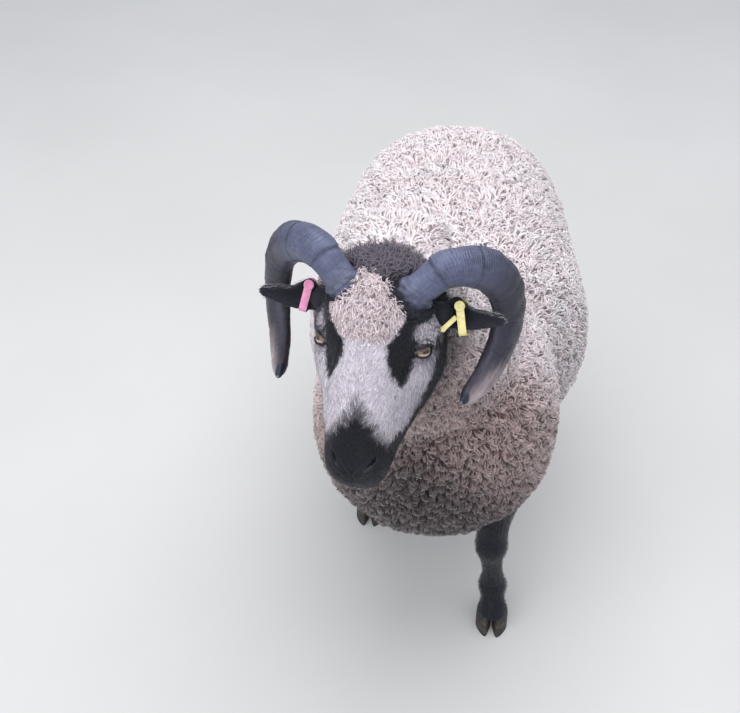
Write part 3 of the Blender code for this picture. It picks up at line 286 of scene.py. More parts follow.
# Curls of the forehead: f, and x where they end to the right and to the left
FOREHEAD = (
    (-0.078, -0.0260, -0.0160), (-0.0735, -0.0330, -0.0060), (-0.069, -0.0370, 0.0040),
    (-0.063, -0.0410, 0.0150), (-0.054, -0.0457, 0.0190), (-0.043, -0.0490, 0.0283),
    (-0.036, -0.0480, 0.0345), (-0.0247, -0.0440, 0.0350), (-0.017, -0.0405, 0.0340),
    (-0.010, -0.0360, 0.0305), (-0.002, -0.0320, 0.0245), (0.0045, -0.0182, 0.0190),
    (0.0105, -0.0072, 0.0118), (0.016, -0.0010, 0.0040),
)
# Distance from the middle, f where the muzzle's black begins and where it is full
MUZZLE = (
    (0.000, 0.052, 0.094), (0.005, 0.058, 0.096), (0.010, 0.068, 0.100), (0.018, 0.080, 0.105),
    (0.026, 0.090, 0.112), (0.034, 0.098, 0.118), (0.045, 0.112, 0.130), (0.070, 0.128, 0.142),
)
MUZZLE_SKEW = 0.04  # the black lies lower on the left side
# f, and u below which the jaw is black
JAW = (
    (-0.120, -0.020), (-0.030, -0.045), (-0.0207, -0.0381), (-0.004, -0.0360), (0.018, -0.0352),
    (0.030, -0.0376), (0.042, -0.0442), (0.054, -0.0500), (0.067, -0.0453), (0.080, -0.0365),
    (0.093, -0.0275), (0.103, -0.0180), (0.120, -0.014), (0.170, -0.014),
)
# f behind which the poll carries the pale fleece of the neck, and how that line bows
NAPE_AT, NAPE_MIDDLE, NAPE_BOW = -0.116, -0.002, 9.0

SIDES = (("left", 1), ("right", -1))
UV_NAME, GRAIN_NAME, COAT_NAME = "OFBake", "Grain", "Coat"
PATCH = 0.003  # size of a tuft's place on its unwrap
UV_MARGIN, UV_SLACK = 0.004, 0.002
TUFT_SIDES, MOST_TRIANGLES = 3, 190000
HOOK_SHARE = 0.45  # the largest share of a curl's length that its hook's radius takes
# Shares of a tuft's length at which it has a ring, for hairs, curls and ringlets
HAIR_RISE, CURL_RISE, RINGLET_RISE = (0, 0.5, 1), (0.0, 0.5, 0.75, 1.0), (0.0, 0.5, 0.67, 0.84, 1.0)
# How far wool and hair keep from the middle of a horn's root, and from the root of an ear
WOOL_CLEAR, HAIR_CLEAR, EAR_CLEAR = 0.0215, 0.0205, 0.012
HEAD_HAIR_FROM = -0.004  # over the plane between head and neck
LEG_HAIR_TOP, LEG_REACH = 0.315, 0.07
# Tufts of each place: distance between them, length, half thickness
CROWN_TUFT, FOREHEAD_TUFT = (0.0023, 0.0125, 0.00065), (0.0017, 0.0088, 0.00052)
FRINGE_TUFT, LEG_TUFT = (0.0017, 0.0095, 0.00055), (0.0036, 0.0065, 0.00055)
EAR_TUFT = (0.0022, 0.0034, 0.0003)
FACE_LENGTH, NOSE_SHORTER, FACE_THICKNESS, FACE_LOCKS = 0.0041, 0.0018, 0.00042, 0.0042
FRINGE_FROM, FRINGE_TO = 0.0190, 0.0330  # distances from a horn's middle line
CELL_PRIMES = (73856093, 19349663, 83492791)

# Coats: scale and depth of the grain, roughness, sheen, height of the bumps, glow
COATS = {
    "short_hair": (700, 0.30, 0.62, 0.15, 0.0006, 0),
    "moist_skin": (1300, 0.25, 0.28, 0.0, 0.0003, 0),
    "wool": (900, 0.16, 0.9, 0.35, 0.0004, 0.4),
    "crown_wool": (1700, 0.2, 0.85, 0.2, 0.0004, 0),
    "face_fur": (2400, 0.15, 0.6, 0.2, 0.0002, 0),
    "leg_fur": (2400, 0.2, 0.6, 0.2, 0.0002, 0),
    "ear_fur": (1500, 0.25, 0.7, 0.25, 0.0004, 0),
    "ear_hair": (2400, 0.15, 0.6, 0.2, 0.0002, 0),
}

# Colours that no setting holds
EAR_FRINGE, COLLAR_COLOUR = (0.42, 0.40, 0.42), (0.060, 0.062, 0.080)
EYE_EDGE, PUPIL_COLOUR = (0.10, 0.075, 0.070), (0.010, 0.006, 0.005)
SCRATCH_COLOUR = (0.34, 0.33, 0.36, 1)

# Lights: name, place, size, power, colour
LIGHTS = (
    ("high_soft", (0.2, 0.2, 3.6), 3.4, 82, (1.0, 0.98, 0.97)),
    ("front_soft", (-1.6, -2.6, 2.6), 4.2, 70, (1.0, 0.98, 0.96)),
)
LIGHTS_AIM, SKY_COLOUR, SKY_STRENGTH = (0, 0, 0.45), (0.88, 0.92, 1.0, 1), 0.76
FLOOR_REACH = 9


def length_setting(name, description, default, least):
    return FloatProperty(name=name, description=description, default=default, min=least, unit="LENGTH")


def colour_setting(name, description, default):
    return FloatVectorProperty(
        name=name, description=description, subtype="COLOR", default=default, min=0, max=1
    )


class RamSettings(bpy.types.PropertyGroup):
    """What a user would change about the ram."""

    curl_spacing: length_setting(
        "Curl spacing", "Distance between the fleece's curls on the sides", 0.0049, 0.003
    )
    curl_length: length_setting(
        "Curl length", "How far a curl reaches from the skin", 0.0165, 0.005
    )
    curl_radius: length_setting("Curl radius", "Radius of a curl's turn", 0.0023, 0.0)
    lock_spacing: length_setting(
        "Lock spacing", "Distance between the locks that the curls gather in", 0.0100, 0.004
    )
    hair_spacing: length_setting(
        "Hair spacing", "Distance between the short hairs of the face", 0.00185, 0.001
    )
    back_wool: colour_setting("Back wool", "Colour of the fleece on the back", (1.0, 0.85, 0.88))
    neck_wool: colour_setting(
        "Neck wool", "Colour of the fleece on the neck and chest", (0.62, 0.44, 0.42)
    )
    # Dark wool, deepened into painted shade low on the chest, under it and behind the jaw
    dark_wool_and_shade: colour_setting(
        "Dark wool", "Colour of the fleece low on the chest", (0.070, 0.054, 0.060)
    )
    crown_wool: colour_setting(
        "Crown wool", "Colour of the wool between and behind the horns", (0.150, 0.130, 0.165)
    )
    forehead_wool: colour_setting(
        "Forehead wool", "Colour of the curls between the horns", (0.84, 0.72, 0.75)
    )
    white_hair: colour_setting(
        "White hair", "Colour of the short hair down the nose", (0.97, 0.90, 1.0)
    )
    grey_hair: colour_setting(
        "Grey hair", "Colour of the short hair on the cheeks", (0.36, 0.34, 0.40)
    )
    black_hair: colour_setting(
        "Black hair", "Colour of the black markings, ears and legs", (0.011, 0.012, 0.021)
    )
    # The horns' dark slate, lightened and blued as a painted reflection of the sky
    horn_slate_and_sky_reflection: colour_setting("Horn slate", "Colour of the horns", (0.088, 0.094, 0.152))
    horn_brown: colour_setting(
        "Horn brown", "Colour of the horns' worn outside", (0.028, 0.021, 0.023)
    )
    horn_tip: colour_setting(
        "Horn tip", "Colour of the horns towards their ends", (0.430, 0.340, 0.345)
    )
    iris: colour_setting("Iris", "Colour of the eyes", (0.23, 0.140, 0.090))
    pink_tag: colour_setting("Pink tag", "Colour of the tag in the right ear", (0.78, 0.30, 0.50))
    yellow_tag: colour_setting(
        "Yellow tag", "Colour of the tags in the left ear", (0.85, 0.75, 0.34)
    )
    seed: IntProperty(name="Seed", description="Seed of all that is scattered", default=7)


def settings():
    return bpy.context.scene.ram


# Frames and smooth tables

def smooth_step(low, high, value):
    share = np.clip((value - low) / (high - low), 0, 1)
    return share * share * (3 - 2 * share)


def bell(value, middle, width):
    """1 at the middle, and falling off on both sides."""
    return np.exp(-(((value - middle) / width) ** 2))


def far(vectors):
    return np.linalg.norm(vectors, axis=-1)


def unit(vectors):
    return vectors / np.maximum(far(vectors)[..., None], 1e-9)


def flattened(ways, normals):
    """What is left of directions across their normals."""
    return ways - normals * (ways * normals).sum(1, keepdims=True)


def keyed(table, at):
    """Smooth values between the rows of a table, whose first column says where each row holds."""
    rows = np.array(table, float)
    t, values = rows[:, 0], rows[:, 1:]
    slope = np.gradient(values, t, axis=0)
    at = np.clip(np.atleast_1d(np.array(at, float)), t[0], t[-1])
    i = np.clip(np.searchsorted(t, at) - 1, 0, len(t) - 2)
    span = (t[i + 1] - t[i])[:, None]
    u = (at - t[i])[:, None] / span
    start = (2 * u**3 - 3 * u**2 + 1) * values[i] + (u**3 - 2 * u**2 + u) * span * slope[i]
    end = (3 * u**2 - 2 * u**3) * values[i + 1] + (u**3 - u**2) * span * slope[i + 1]
    return start + end


def stations(table, steps):
    """A table's rows, with so many smooth steps from one to the next."""
    numbered = [(i, *row) for i, row in enumerate(table)]
    return keyed(numbered, np.linspace(0, len(table) - 1, (len(table) - 1) * steps + 1))


def head_axes():
    down = Vector((0, -math.cos(HEAD_PITCH), -math.sin(HEAD_PITCH)))
    out = Vector((0, -math.sin(HEAD_PITCH), math.cos(HEAD_PITCH)))
    turn = Matrix.Rotation(HEAD_YAW, 3, "Z")
    side, down, out = turn @ Vector((1, 0, 0)), turn @ down, turn @ out
    roll_cos, roll_sin = math.cos(HEAD_ROLL), math.sin(HEAD_ROLL)
    return np.array((side * roll_cos + down * roll_sin, down * roll_cos - side * roll_sin, out))


HEAD_AXES = head_axes()


def from_head(points, mirror=1):
    """Places in the head's frame, or their mirror twins, as places in the ram's."""
    points = np.array(points, float) * (mirror, 1, 1)
    return np.array(EYES_AT) + points @ HEAD_AXES


def to_head(points):
    return (points - np.array(EYES_AT)) @ HEAD_AXES.T


def head_way(way, mirror=1):
    return unit(from_head(way, mirror) - np.array(EYES_AT))


def head_height(points):
    """How far places lie on the head's side of the plane between head and neck."""
    normal = unit(np.cross(np.array(POLL) - np.array(THROAT), (1, 0, 0)))
    normal = -normal if normal[1] > 0 else normal
    return (points - np.array(THROAT)) @ normal


def wander(points, size, seed):
    """Smooth made-up unevenness, from -1 to 1, that changes over a length."""
    draw = np.random.default_rng(seed)
    total = np.zeros(len(points))
    for _ in range(6):
        way = unit(draw.normal(size=3)) * 2 * math.pi / (size * draw.uniform(0.7, 1.5))
        total += np.sin(points @ way + draw.uniform(0, 6.28))
    return total / 3.2


# Meshes

def mesh_object(name, points, faces, smooth=True):
    """A mesh from points in the ram's frame and arrays of faces of one size each."""
    mesh = bpy.data.meshes.new(name)
    faces = [np.asarray(group, np.int32) for group in faces if len(group)]
    corners = np.concatenate([group.ravel() for group in faces])
    sizes = np.concatenate([np.full(len(group), group.shape[1], np.int32) for group in faces])
    points = np.asarray(points, float) + ORIGIN_SHIFT
    mesh.vertices.add(len(points))
    mesh.vertices.foreach_set("co", points.astype(np.float32).ravel())
    mesh.loops.add(len(corners))
    mesh.loops.foreach_set("vertex_index", corners)
    mesh.polygons.add(len(sizes))
    mesh.polygons.foreach_set("loop_start", np.concatenate([[0], np.cumsum(sizes)[:-1]]).astype(np.int32))
    mesh.update(calc_edges=True)
    mesh.validate()
    if smooth:
        mesh.shade_smooth()
    obj = bpy.data.objects.new(name, mesh)
    bpy.context.scene.collection.objects.link(obj)
    return obj


def grid_faces(rows, columns):
    """Quads between rows of points that run round."""
    row, column = np.meshgrid(np.arange(rows - 1), np.arange(columns), indexing="ij")
    after = (column + 1) % columns
    a, b = row * columns + column, row * columns + after
    return np.stack([a, b, b + columns, a + columns], -1).reshape(-1, 4)


def tube(name, rings, smooth=True):
    """A closed mesh through an array of rings, with a fan at each end."""
    rings = np.asarray(rings)
    count, around = rings.shape[:2]
    points = np.concatenate([rings.reshape(-1, 3), rings[0].mean(0)[None], rings[-1].mean(0)[None]])
    i = np.arange(around)
    after = (i + 1) % around
    last = (count - 1) * around
    start = np.stack([after, i, np.full(around, count * around)], -1)
    end = np.stack([last + i, last + after, np.full(around, count * around + 1)], -1)
    obj = mesh_object(name, points, [grid_faces(count, around), start, end], smooth)
    return outward(obj)


def outward(obj):
    """Turns every face of a closed mesh outwards."""
    bm = bmesh.new()
    bm.from_mesh(obj.data)
    bmesh.ops.recalc_face_normals(bm, faces=bm.faces)
    bm.to_mesh(obj.data)
    bm.free()
    return obj


def oval_rings(centres, sides, ups, widths, rises, falls, count, squareness=2.0):
    angle = 2 * math.pi * (np.arange(count) + 0.5) / count
    across, along = np.cos(angle), np.sin(angle)
    x = np.sign(across) * np.abs(across) ** (2 / squareness)
    z = np.sign(along) * np.abs(along) ** (2 / squareness)
    height = np.where(z > 0, z * rises[:, None], z * falls[:, None])
    aside = sides[:, None] * (x * widths[:, None])[..., None]
    return centres[:, None] + aside + ups[:, None] * height[..., None]


def tube_rings(table, steps, count, reference, squareness=2.0):
    """Rings across a smooth path of rows x, y, z, half width and half depth."""
    rows = stations(table, steps)
    centres = rows[:, :3]
    tangents = unit(np.gradient(centres, axis=0))
    side = reference(centres) if callable(reference) else np.tile(np.array(reference, float), (len(rows), 1))
    side = unit(flattened(side, tangents))
    up = np.cross(tangents, side)
    return oval_rings(centres, side, up, rows[:, 3], rows[:, 4], rows[:, 4], count, squareness)


def apply_modifiers(obj):
    graph = bpy.context.evaluated_depsgraph_get()
    mesh = bpy.data.meshes.new_from_object(obj.evaluated_get(graph))
    obj.modifiers.clear()
    old, obj.data = obj.data, mesh
    bpy.data.meshes.remove(old)
    return obj


def joined(obj, others):
    """One closed surface round an object and others, which are then removed."""
    group = bpy.data.collections.new("joining")
    for other in others:
        group.objects.link(other)
    step = obj.modifiers.new("join", "BOOLEAN")
    step.operation, step.solver = "UNION", "MANIFOLD"
    step.operand_type, step.collection = "COLLECTION", group
    apply_modifiers(obj)
    for other in others:
        bpy.data.objects.remove(other)
    bpy.data.collections.remove(group)


def cut_off(obj, point, normal, lift=0.0, **side):
    """Cuts a closed mesh on a plane, clears one side of it and closes the cut."""
    bm = bmesh.new()
    bm.from_mesh(obj.data)
    cut = bmesh.ops.bisect_plane(
        bm, geom=bm.verts[:] + bm.edges[:] + bm.faces[:],
        plane_co=point + ORIGIN_SHIFT + normal * lift, plane_no=normal, **side,
    )
    rim = [item for item in cut["geom_cut"] if isinstance(item, bmesh.types.BMEdge)]
    bmesh.ops.triangle_fill(bm, edges=rim, use_beauty=True)
    bmesh.ops.recalc_face_normals(bm, faces=bm.faces)
    bm.to_mesh(obj.data)
    bm.free()


def smooth_below(obj, degrees):
    """Smooth shading, apart from edges that are sharper than an angle."""
    obj.data.shade_smooth()
    obj.data.set_sharp_from_angle(angle=math.radians(degrees))


def values_of(items, name, width, kind=np.float32):
    """One property of a mesh's items, with a row for each."""
    values = np.empty(len(items) * width, kind)
    items.foreach_get(name, values)
    return values.reshape(-1, width)


def vertex_normals(obj):
    return values_of(obj.data.vertices, "normal", 3).astype(float)


def vertex_points(obj):
    return values_of(obj.data.vertices, "co", 3).astype(float) - ORIGIN_SHIFT


def set_points(obj, points):
    obj.data.vertices.foreach_set("co", (points + ORIGIN_SHIFT).astype(np.float32).ravel())
    obj.data.update()


def lay_uv(obj, name, uv):
    """An unwrap with one place for each vertex."""
    layer = obj.data.uv_layers.new(name=name)
    corner = values_of(obj.data.loops, "vertex_index", 1, np.int32).ravel()
    layer.uv.foreach_set("vector", uv[corner].astype(np.float32).ravel())


def finish_piece(obj, nodes, slot, *materials):
    """Gives a piece its materials, hides the solids that it stands for and lets it ride."""
    obj.data.materials.clear()
    for made in materials:
        obj.data.materials.append(made)
    if nodes:
        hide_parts(*nodes)
    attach(obj, "root")


# The ram's own shapes

def trunk_rings(steps, count):
    rows = stations(TRUNK, steps)
    y, width, top, bottom = rows.T
    centres = np.stack([np.zeros(len(y)), y, (top + bottom) / 2], -1)
    side, up = np.tile((1.0, 0, 0), (len(y), 1)), np.tile((0, 0, 1.0), (len(y), 1))
    half = (top - bottom) / 2
    rings = oval_rings(centres, side, up, width, half, half, count, TRUNK_SQUARENESS)
    bulge = FLANK_BULGE * bell(y, BULGE_AT, BULGE_REACH)[:, None]
    rings[..., 0] += bulge * np.maximum(0, rings[..., 0] / np.maximum(width[:, None], 0.01))
    return rings


def leg_table(leg):
    table, side, stride = STRIDES[leg]
    return [
        (x * side, y + stride * max(0.0, 1 - z / LEG_TOP), z, width, depth)
        for x, y, z, width, depth in table
    ]


def sunk(obj, depth):
    drop = obj.modifiers.new("sink", "DISPLACE")
    drop.strength, drop.mid_level = -depth, 0
    return apply_modifiers(obj)


def body_skin():
    """Trunk, neck, tail and upper legs as one smooth surface below the fleece."""
    body = sunk(tube("body", trunk_rings(4, 64)), COAT_RISE)
    parts = [sunk(tube("neck", tube_rings(NECK, 6, 48, (1, 0, 0))), COAT_RISE)]
    parts.append(tube("tail", tube_rings(TAIL, 4, 24, (1, 0, 0))))
    for leg in STRIDES:
        upper = [(*row[:3], row[3] * THIGH_SHARE, row[4] * THIGH_SHARE) for row in leg_table(leg)[:5]]
        parts.append(tube("thigh", tube_rings(upper, 4, 32, (1, 0, 0), THIGH_SQUARENESS)))
    joined(body, parts)
    shell = body.modifiers.new("shell", "REMESH")
    shell.mode, shell.voxel_size = "VOXEL", SHELL_VOXEL
    ease = body.modifiers.new("ease", "SMOOTH")
    ease.factor, ease.iterations = EASE_FACTOR, EASE_ROUNDS
    return apply_modifiers(body)


def coronet_plane(leg):
    x, y = leg_table(leg)[-2][:2]
    slope = (CORONET_FRONT - CORONET_BACK) / CLAW_LENGTH
    return np.array((x, y, (CORONET_FRONT + CORONET_BACK) / 2)), unit(np.array((0, slope, 1.0)))


def lower_leg(leg):
    """A bare leg with its tendons, knee or hock and fetlock, down to the coronet."""
    rings = tube_rings(leg_table(leg)[1:], 8, 40, (1, 0, 0), LEG_SQUARENESS)
    centre = rings.mean(1, keepdims=True)
    away = unit(rings - centre)
    height = rings[..., 2]
    # the cannon has a flat bone in front and a tendon behind, with a groove between them
    cannon = smooth_step(0.085, 0.105, height) * (1 - smooth_step(0.160, 0.185, height))
    groove = bell(away[..., 1], 0.25, 0.30) * np.abs(away[..., 0])
    push = -GROOVE_DEPTH * cannon * groove
    push = push + KNEE_RISE * bell(height, *KNEE) * np.maximum(0, -away[..., 1])
    push = push + FETLOCK_RISE * bell(height, *FETLOCK)
    rings = rings + away * push[..., None]
    obj = tube(f"lower_{leg}", rings)
    low = leg_table(leg)[-4]
    t = np.linspace(0, math.pi, 10)[:, None]
    a = np.linspace(0, 2 * math.pi, 16, endpoint=False)[None]
    size = DEWCLAW_RADIUS
    ball = np.stack([
        np.sin(t) * np.cos(a) * size, np.sin(t) * np.sin(a) * size,
        np.cos(t) * size * DEWCLAW_STRETCH + 0 * a,
    ], -1)[1:-1]
    bumps = []
    for apart in (-1, 1):
        spot = np.array((low[0] + apart * DEWCLAW_APART, low[1] + DEWCLAW_BACK, DEWCLAW_UP))
        bumps.append(tube("dewclaw", spot + ball))
    joined(obj, bumps)
    cut_off(obj, *coronet_plane(leg), clear_inner=True)
    return obj


def distance_to_path(points, path):
    """Distance of places to a broken line, and how far along it the nearest place is."""
    path = np.array(path, float)
    best = np.full(len(points), 1e9)
    along = np.zeros(len(points))
    for i, (a, b) in enumerate(zip(path, path[1:])):
        t = np.clip(((points - a) @ (b - a)) / ((b - a) @ (b - a)), 0, 1)
        d = far(points - a - t[:, None] * (b - a))
        near = d < best
        best[near], along[near] = d[near], (i + t[near]) / (len(path) - 1)
    return best, along


def head_section(rows, angles):
    f, width, top, bottom, widest, roof = (column[:, None] for column in rows.T)
    across, along = np.cos(angles)[None], np.sin(angles)[None]
    power = 2 / HEAD_SQUARENESS
    x = np.sign(across) * np.abs(across) ** power * width
    lift = np.sign(along) * np.abs(along) ** power
    rise = np.where(along > 0, top - widest, widest - bottom)
    narrow = 1 - (1 - roof) * np.maximum(0, lift) ** ROOF_CURVE
    jaw = 1 - JAW_NARROWING * np.maximum(0, -lift) ** JAW_CURVE
    return np.stack([x * narrow * jaw, f + 0 * x, widest + lift * rise], -1)


def head_surface():
    """Rings of points, in the head's frame, of the head before its fine features."""
    rows = stations(HEAD, 12)
    points = head_section(rows, 2 * math.pi * (np.arange(128) + 0.5) / 128)
    outward_way = unit(points - points.mean(axis=1, keepdims=True))
    for x, f, u, push, reach in HEAD_DABS:
        for twin in {x, -x}:
            away = far(points - np.array((twin, f, u)))
            points = points + outward_way * (push * bell(away, 0, reach))[..., None]
    return points


def eye_axes():
    """Outward, corner-line and upward directions of the left eye, in the head's frame."""
    out, along = unit(np.array(EYE_OUTWARD)), np.array(EYE_CORNER_LINE, float)
    along = unit(along - out * (along @ out))
    return out, along, np.cross(along, out)


def lid_distance(left):
    """Signed distance to the edge of the lids' opening, for places in the left eye's own axes."""
    s, t = left[:, 1], left[:, 2]
    share = np.clip(1 - (s / LID_HALF_LENGTH) ** 2, 0, 1)
    edge = np.where(t > 0, LID_UPPER * share**0.75, LID_LOWER * share**0.85)
    beyond = np.maximum(np.abs(s) - LID_HALF_LENGTH, 0)
    return np.where(beyond > 0, np.hypot(beyond, t), np.abs(t) - edge)


def mirroring(points):
    """What folds places and directions of the head onto its left side, and back."""
    return np.where(points[:, :1] < 0, -1, 1) ** np.array((1, 0, 0))


def eye_local(points):
    """Head places in the left eye's axes and in the head's frame, folded onto the left side."""
    folded = points * mirroring(points)
    return (folded - np.array(EYE_CENTRE)) @ np.array(eye_axes()).T, folded


def shaped_face(points, normals):
    """Lids, nostrils, lips and folds, as moves of the head's points."""
    local, folded = eye_local(points)
    edge = lid_distance(local)
    near = (far(local[:, 1:]) < EYE_REACH) & (local[:, 0] > -0.004)
    across = np.sum(local[:, 1:] ** 2, axis=1)
    upper = local[:, 2] > 0

    def dome(radius):
        return np.sqrt(np.maximum(radius**2 - across, 1e-9))

    lid = dome(EYE_RADIUS + LID_THICKNESS + 0.0006 * bell(edge, 0, 0.0016))
    over_eye = across < (EYE_RADIUS + LID_THICKNESS) ** 2 * 0.96
    hold = 1 - smooth_step(0.002, 0.012, edge)
    hold = np.where(over_eye, hold, hold * 0.25)
    target = np.where(over_eye, lid, local[:, 0])
    reach = local[:, 0] + (target - local[:, 0]) * hold
    crease = np.zeros(len(points))
    for above, distance, width, depth in LID_CREASES:
        crease += np.where(upper == above, depth * bell(edge, distance, width), 0)
    reach -= crease * (np.abs(local[:, 1]) < 0.020)
    tear = np.hypot(local[:, 1] + LID_HALF_LENGTH + 0.003, local[:, 2] + 0.001)
    reach -= 0.0022 * bell(tear, 0, 0.0030)
    inside = dome(EYE_RADIUS - 0.0022)
    open_share = smooth_step(0.0002, -0.0010, edge)
    reach = reach + (inside - reach) * open_share
    moved = np.where(near, reach - local[:, 0], 0)
    points = points + (moved[:, None] * eye_axes()[0]) * mirroring(points)

    slit, inwards = distance_to_path(folded, NOSTRIL)
    deep = 0.0005 + 0.0030 * (1 - smooth_step(0.15, 0.40, inwards))
    points = points - normals * (deep * bell(slit, 0, 0.0014))[:, None]
    points = points + normals * (0.0012 * bell(slit, 0.0046, 0.0020))[:, None]
    f, u = folded[:, 1], folded[:, 2]
    line = keyed(MOUTH_LINE, f)[:, 0]
    part = np.abs(u - line)
    there = smooth_step(MOUTH_FROM, MOUTH_FROM + 0.012, f)
    points = points - normals * (there * 0.0030 * bell(part, 0, 0.0011))[:, None]
    points = points + normals * (there * 0.0012 * bell(part, 0.0040, 0.0022))[:, None]
    middle = smooth_step(0.148, 0.160, f) * (u > -0.042)
    points = points - normals * (middle * 0.0016 * bell(folded[:, 0], 0, 0.0011))[:, None]
    tremble = wander(points, 0.016, 3) * 0.00035 + wander(points, 0.006, 4) * 0.00012
    return points + normals * tremble[:, None]


def head_skin():
    """The head, with finer faces where lids, nostrils and lips are shaped."""
    rings = head_surface()
    obj = tube("head_skin", from_head(rings.reshape(-1, 3)).reshape(rings.shape))
    for reach in (0.026, 0.019):
        bm = bmesh.new()
        bm.from_mesh(obj.data)
        bm.verts.ensure_lookup_table()
        points = to_head(np.array([v.co for v in bm.verts]) - ORIGIN_SHIFT)
        local, folded = eye_local(points)
        fine = (far(local[:, 1:]) < reach) & (local[:, 0] > 0)
        slit, _ = distance_to_path(folded, NOSTRIL)
        fine |= slit < reach * 0.45
        mouth = np.abs(points[:, 2] - keyed(MOUTH_LINE, points[:, 1])[:, 0])
        fine |= (points[:, 1] > MOUTH_FROM - 0.004) & (mouth < reach * 0.22)
        chosen = [e for e in bm.edges if fine[e.verts[0].index] and fine[e.verts[1].index]]
        bmesh.ops.subdivide_edges(bm, edges=chosen, cuts=1, use_grid_fill=True)
        bmesh.ops.triangulate(bm, faces=[face for face in bm.faces if len(face.verts) > 4])
        bm.to_mesh(obj.data)
        bm.free()
        obj.data.update()
    normals = vertex_normals(obj) @ HEAD_AXES.T
    points = shaped_face(to_head(vertex_points(obj)), normals)
    set_points(obj, from_head(points))
    return obj


# Markings

def plain(colour, places):
    """One colour for each of the places."""
    return np.tile(np.array(colour), (len(places), 1))


def blend(colours, other, share):
    return colours + (np.array(other) - colours) * share[:, None]


def wool_colour(points):
    """The fleece: cream on the back, brown-grey on neck and chest, and darker low on the chest, under it and
    behind the jaw, partly dark wool and partly painted shade.
    """
    ram = settings()
    x, y, z = points.T
    colours = plain(ram.back_wool, points)
    forward = (points - np.array(NECK_LINE_AT)) @ np.array(THROATWARD)
    # the neck's brown fades towards both sides; its quicker fade on the left side (x > 0) is partly painted
    # light falling on that side
    forward = forward - 0.5 * np.maximum(0, -x - 0.07) - 0.45 * np.maximum(0, x - 0.11)
    front = smooth_step(-0.050, 0.095, forward + 0.018 * wander(points, 0.10, 5))
    colours = blend(colours, ram.neck_wool, front)
    patchy = 0.05 * wander(points, 0.05, 6) + 0.12 * wander(points, 0.030, 7) * front
    colours *= (1 + patchy)[:, None]
    # painted shade: darker low on the chest, under it and behind the jaw, partly the wool's own dark colour
    low = smooth_step(0.62, 0.43, z + 0.9 * np.abs(x + 0.02)) * smooth_step(-0.08, -0.20, y)
    under = smooth_step(0.34, 0.28, z) * smooth_step(0.00, -0.12, y)
    throat = smooth_step(-0.080, -0.015, head_height(points)) * smooth_step(0.85, 0.79, z)
    colours = blend(colours, ram.dark_wool_and_shade, np.clip(low * 0.92 + throat * 0.85 + under * 0.7, 0, 0.97))
    belly = smooth_step(0.33, 0.27, z) * smooth_step(-0.12, 0.02, y) * 0.45
    colours = blend(colours, ram.neck_wool, belly)
    return np.clip(colours, 0.004, 1)


def leg_colour(points):
    """Black hair, with dark wool at the top."""
    ram = settings()
    z = points[:, 2] + 0.012 * wander(points, 0.04, 8)
    wool = smooth_step(0.262, 0.318, z)
    return blend(plain(ram.black_hair, points), ram.dark_wool_and_shade, wool * 0.8)


def tossed(share, toss):
    """A share that is soft on the skin, and all or nothing on hairs that each have a chance."""
    return share if toss is None else smooth_step(toss * 0.76, toss * 0.76 + 0.24, share)


